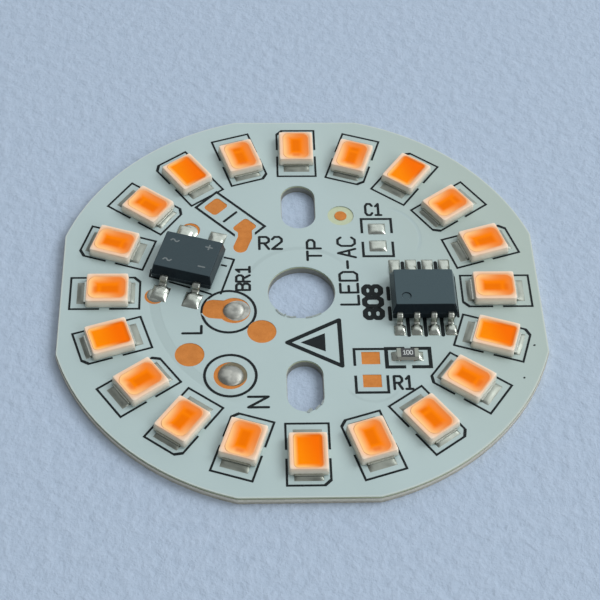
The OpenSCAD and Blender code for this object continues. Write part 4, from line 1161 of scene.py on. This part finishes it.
FLOOR_HALF = 1.5
FLOOR_DROP = 0.01
EYE = Vector((-5.055, -78.370, 93.603)) * MM
EYE_RIGHT = (0.99915417, -0.03107972, 0.0269257)
EYE_UP = (0.00659451, 0.76742154, 0.64110895)
EYE_BACK = (-0.04058885, -0.64038912, 0.76697739)
EYE_LENS = 96.79
LAMPS = [
    {"name": "soft_lamp", "at": Vector((1.12, 0.36, 1.06)), "size": 0.88, "power": 12.5},
    {"name": "fill_lamp", "at": Vector((0.61, -0.61, 0.5)), "size": 0.6, "power": 3.3},
]

# Painted board: pale bluish grey, dull, with a fine rolled texture about a millimetre across.
floor_paint = grained_material(
    "pale_painted_board", {"Scale": per_mm(0.9), "Detail": 4.0, "Roughness": 0.6}, ("9eaec0", "afbdce"),
    {"Roughness": 0.75, "IOR": 1.45}, bump={"Strength": 0.55, "Distance": 0.35 * MM},
)
floor_mesh = bpy.data.meshes.new("floor")
corners = [(x * FLOOR_HALF, y * FLOOR_HALF) for x, y in ((-1, -1), (1, -1), (1, 1), (-1, 1))]
floor_mesh.from_pydata([(x, y, -FLOOR_DROP * MM) for x, y in corners], [], [[0, 1, 2, 3]])
floor_mesh.materials.append(floor_paint)
floor = bpy.data.objects.new("floor", floor_mesh)
bpy.context.scene.collection.objects.link(floor)

for lamp_spec in LAMPS:
    lamp_data = bpy.data.lights.new(lamp_spec["name"], "AREA")
    lamp_data.shape = "DISK"
    lamp_data.size = lamp_spec["size"]
    lamp_data.energy = lamp_spec["power"]
    lamp_data.color = linear("f6f9fc")[:3]
    lamp = bpy.data.objects.new(lamp_spec["name"], lamp_data)
    bpy.context.scene.collection.objects.link(lamp)
    lamp.location = lamp_spec["at"]
    lamp.rotation_euler = lamp_spec["at"].to_track_quat("Z", "Y").to_euler()

room = bpy.data.worlds.new("pale_room")
bpy.context.scene.world = room
room.use_nodes = True
room.node_tree.nodes.clear()
direction = add_node(room, "ShaderNodeTexCoord")
towards_back = add_node(room, "ShaderNodeVectorMath", {
    0: direction.outputs["Generated"], 1: (0.35, 0.7, 0.62),
}, operation="DOT_PRODUCT")
brightness = add_node(room, "ShaderNodeMapRange", {
    "Value": towards_back, "From Min": 0.6, "From Max": 0.96, "To Min": 0.36, "To Max": 1.5,
}, interpolation_type="SMOOTHSTEP")
sky = add_node(room, "ShaderNodeBackground", {"Color": "f2f6fa", "Strength": brightness})
add_node(room, "ShaderNodeOutputWorld", {"Surface": sky})

camera_data = bpy.data.cameras.new("camera")
camera_data.lens = EYE_LENS
camera_data.sensor_width = 36
camera_data.clip_start = 0.002
camera_data.clip_end = 20
camera = bpy.data.objects.new("camera", camera_data)
bpy.context.scene.collection.objects.link(camera)
axes = Matrix((EYE_RIGHT, EYE_UP, EYE_BACK)).transposed()
camera.matrix_world = Matrix.Translation(EYE) @ axes.to_4x4()
bpy.context.scene.camera = camera
bpy.context.scene.view_settings.view_transform = "Standard"
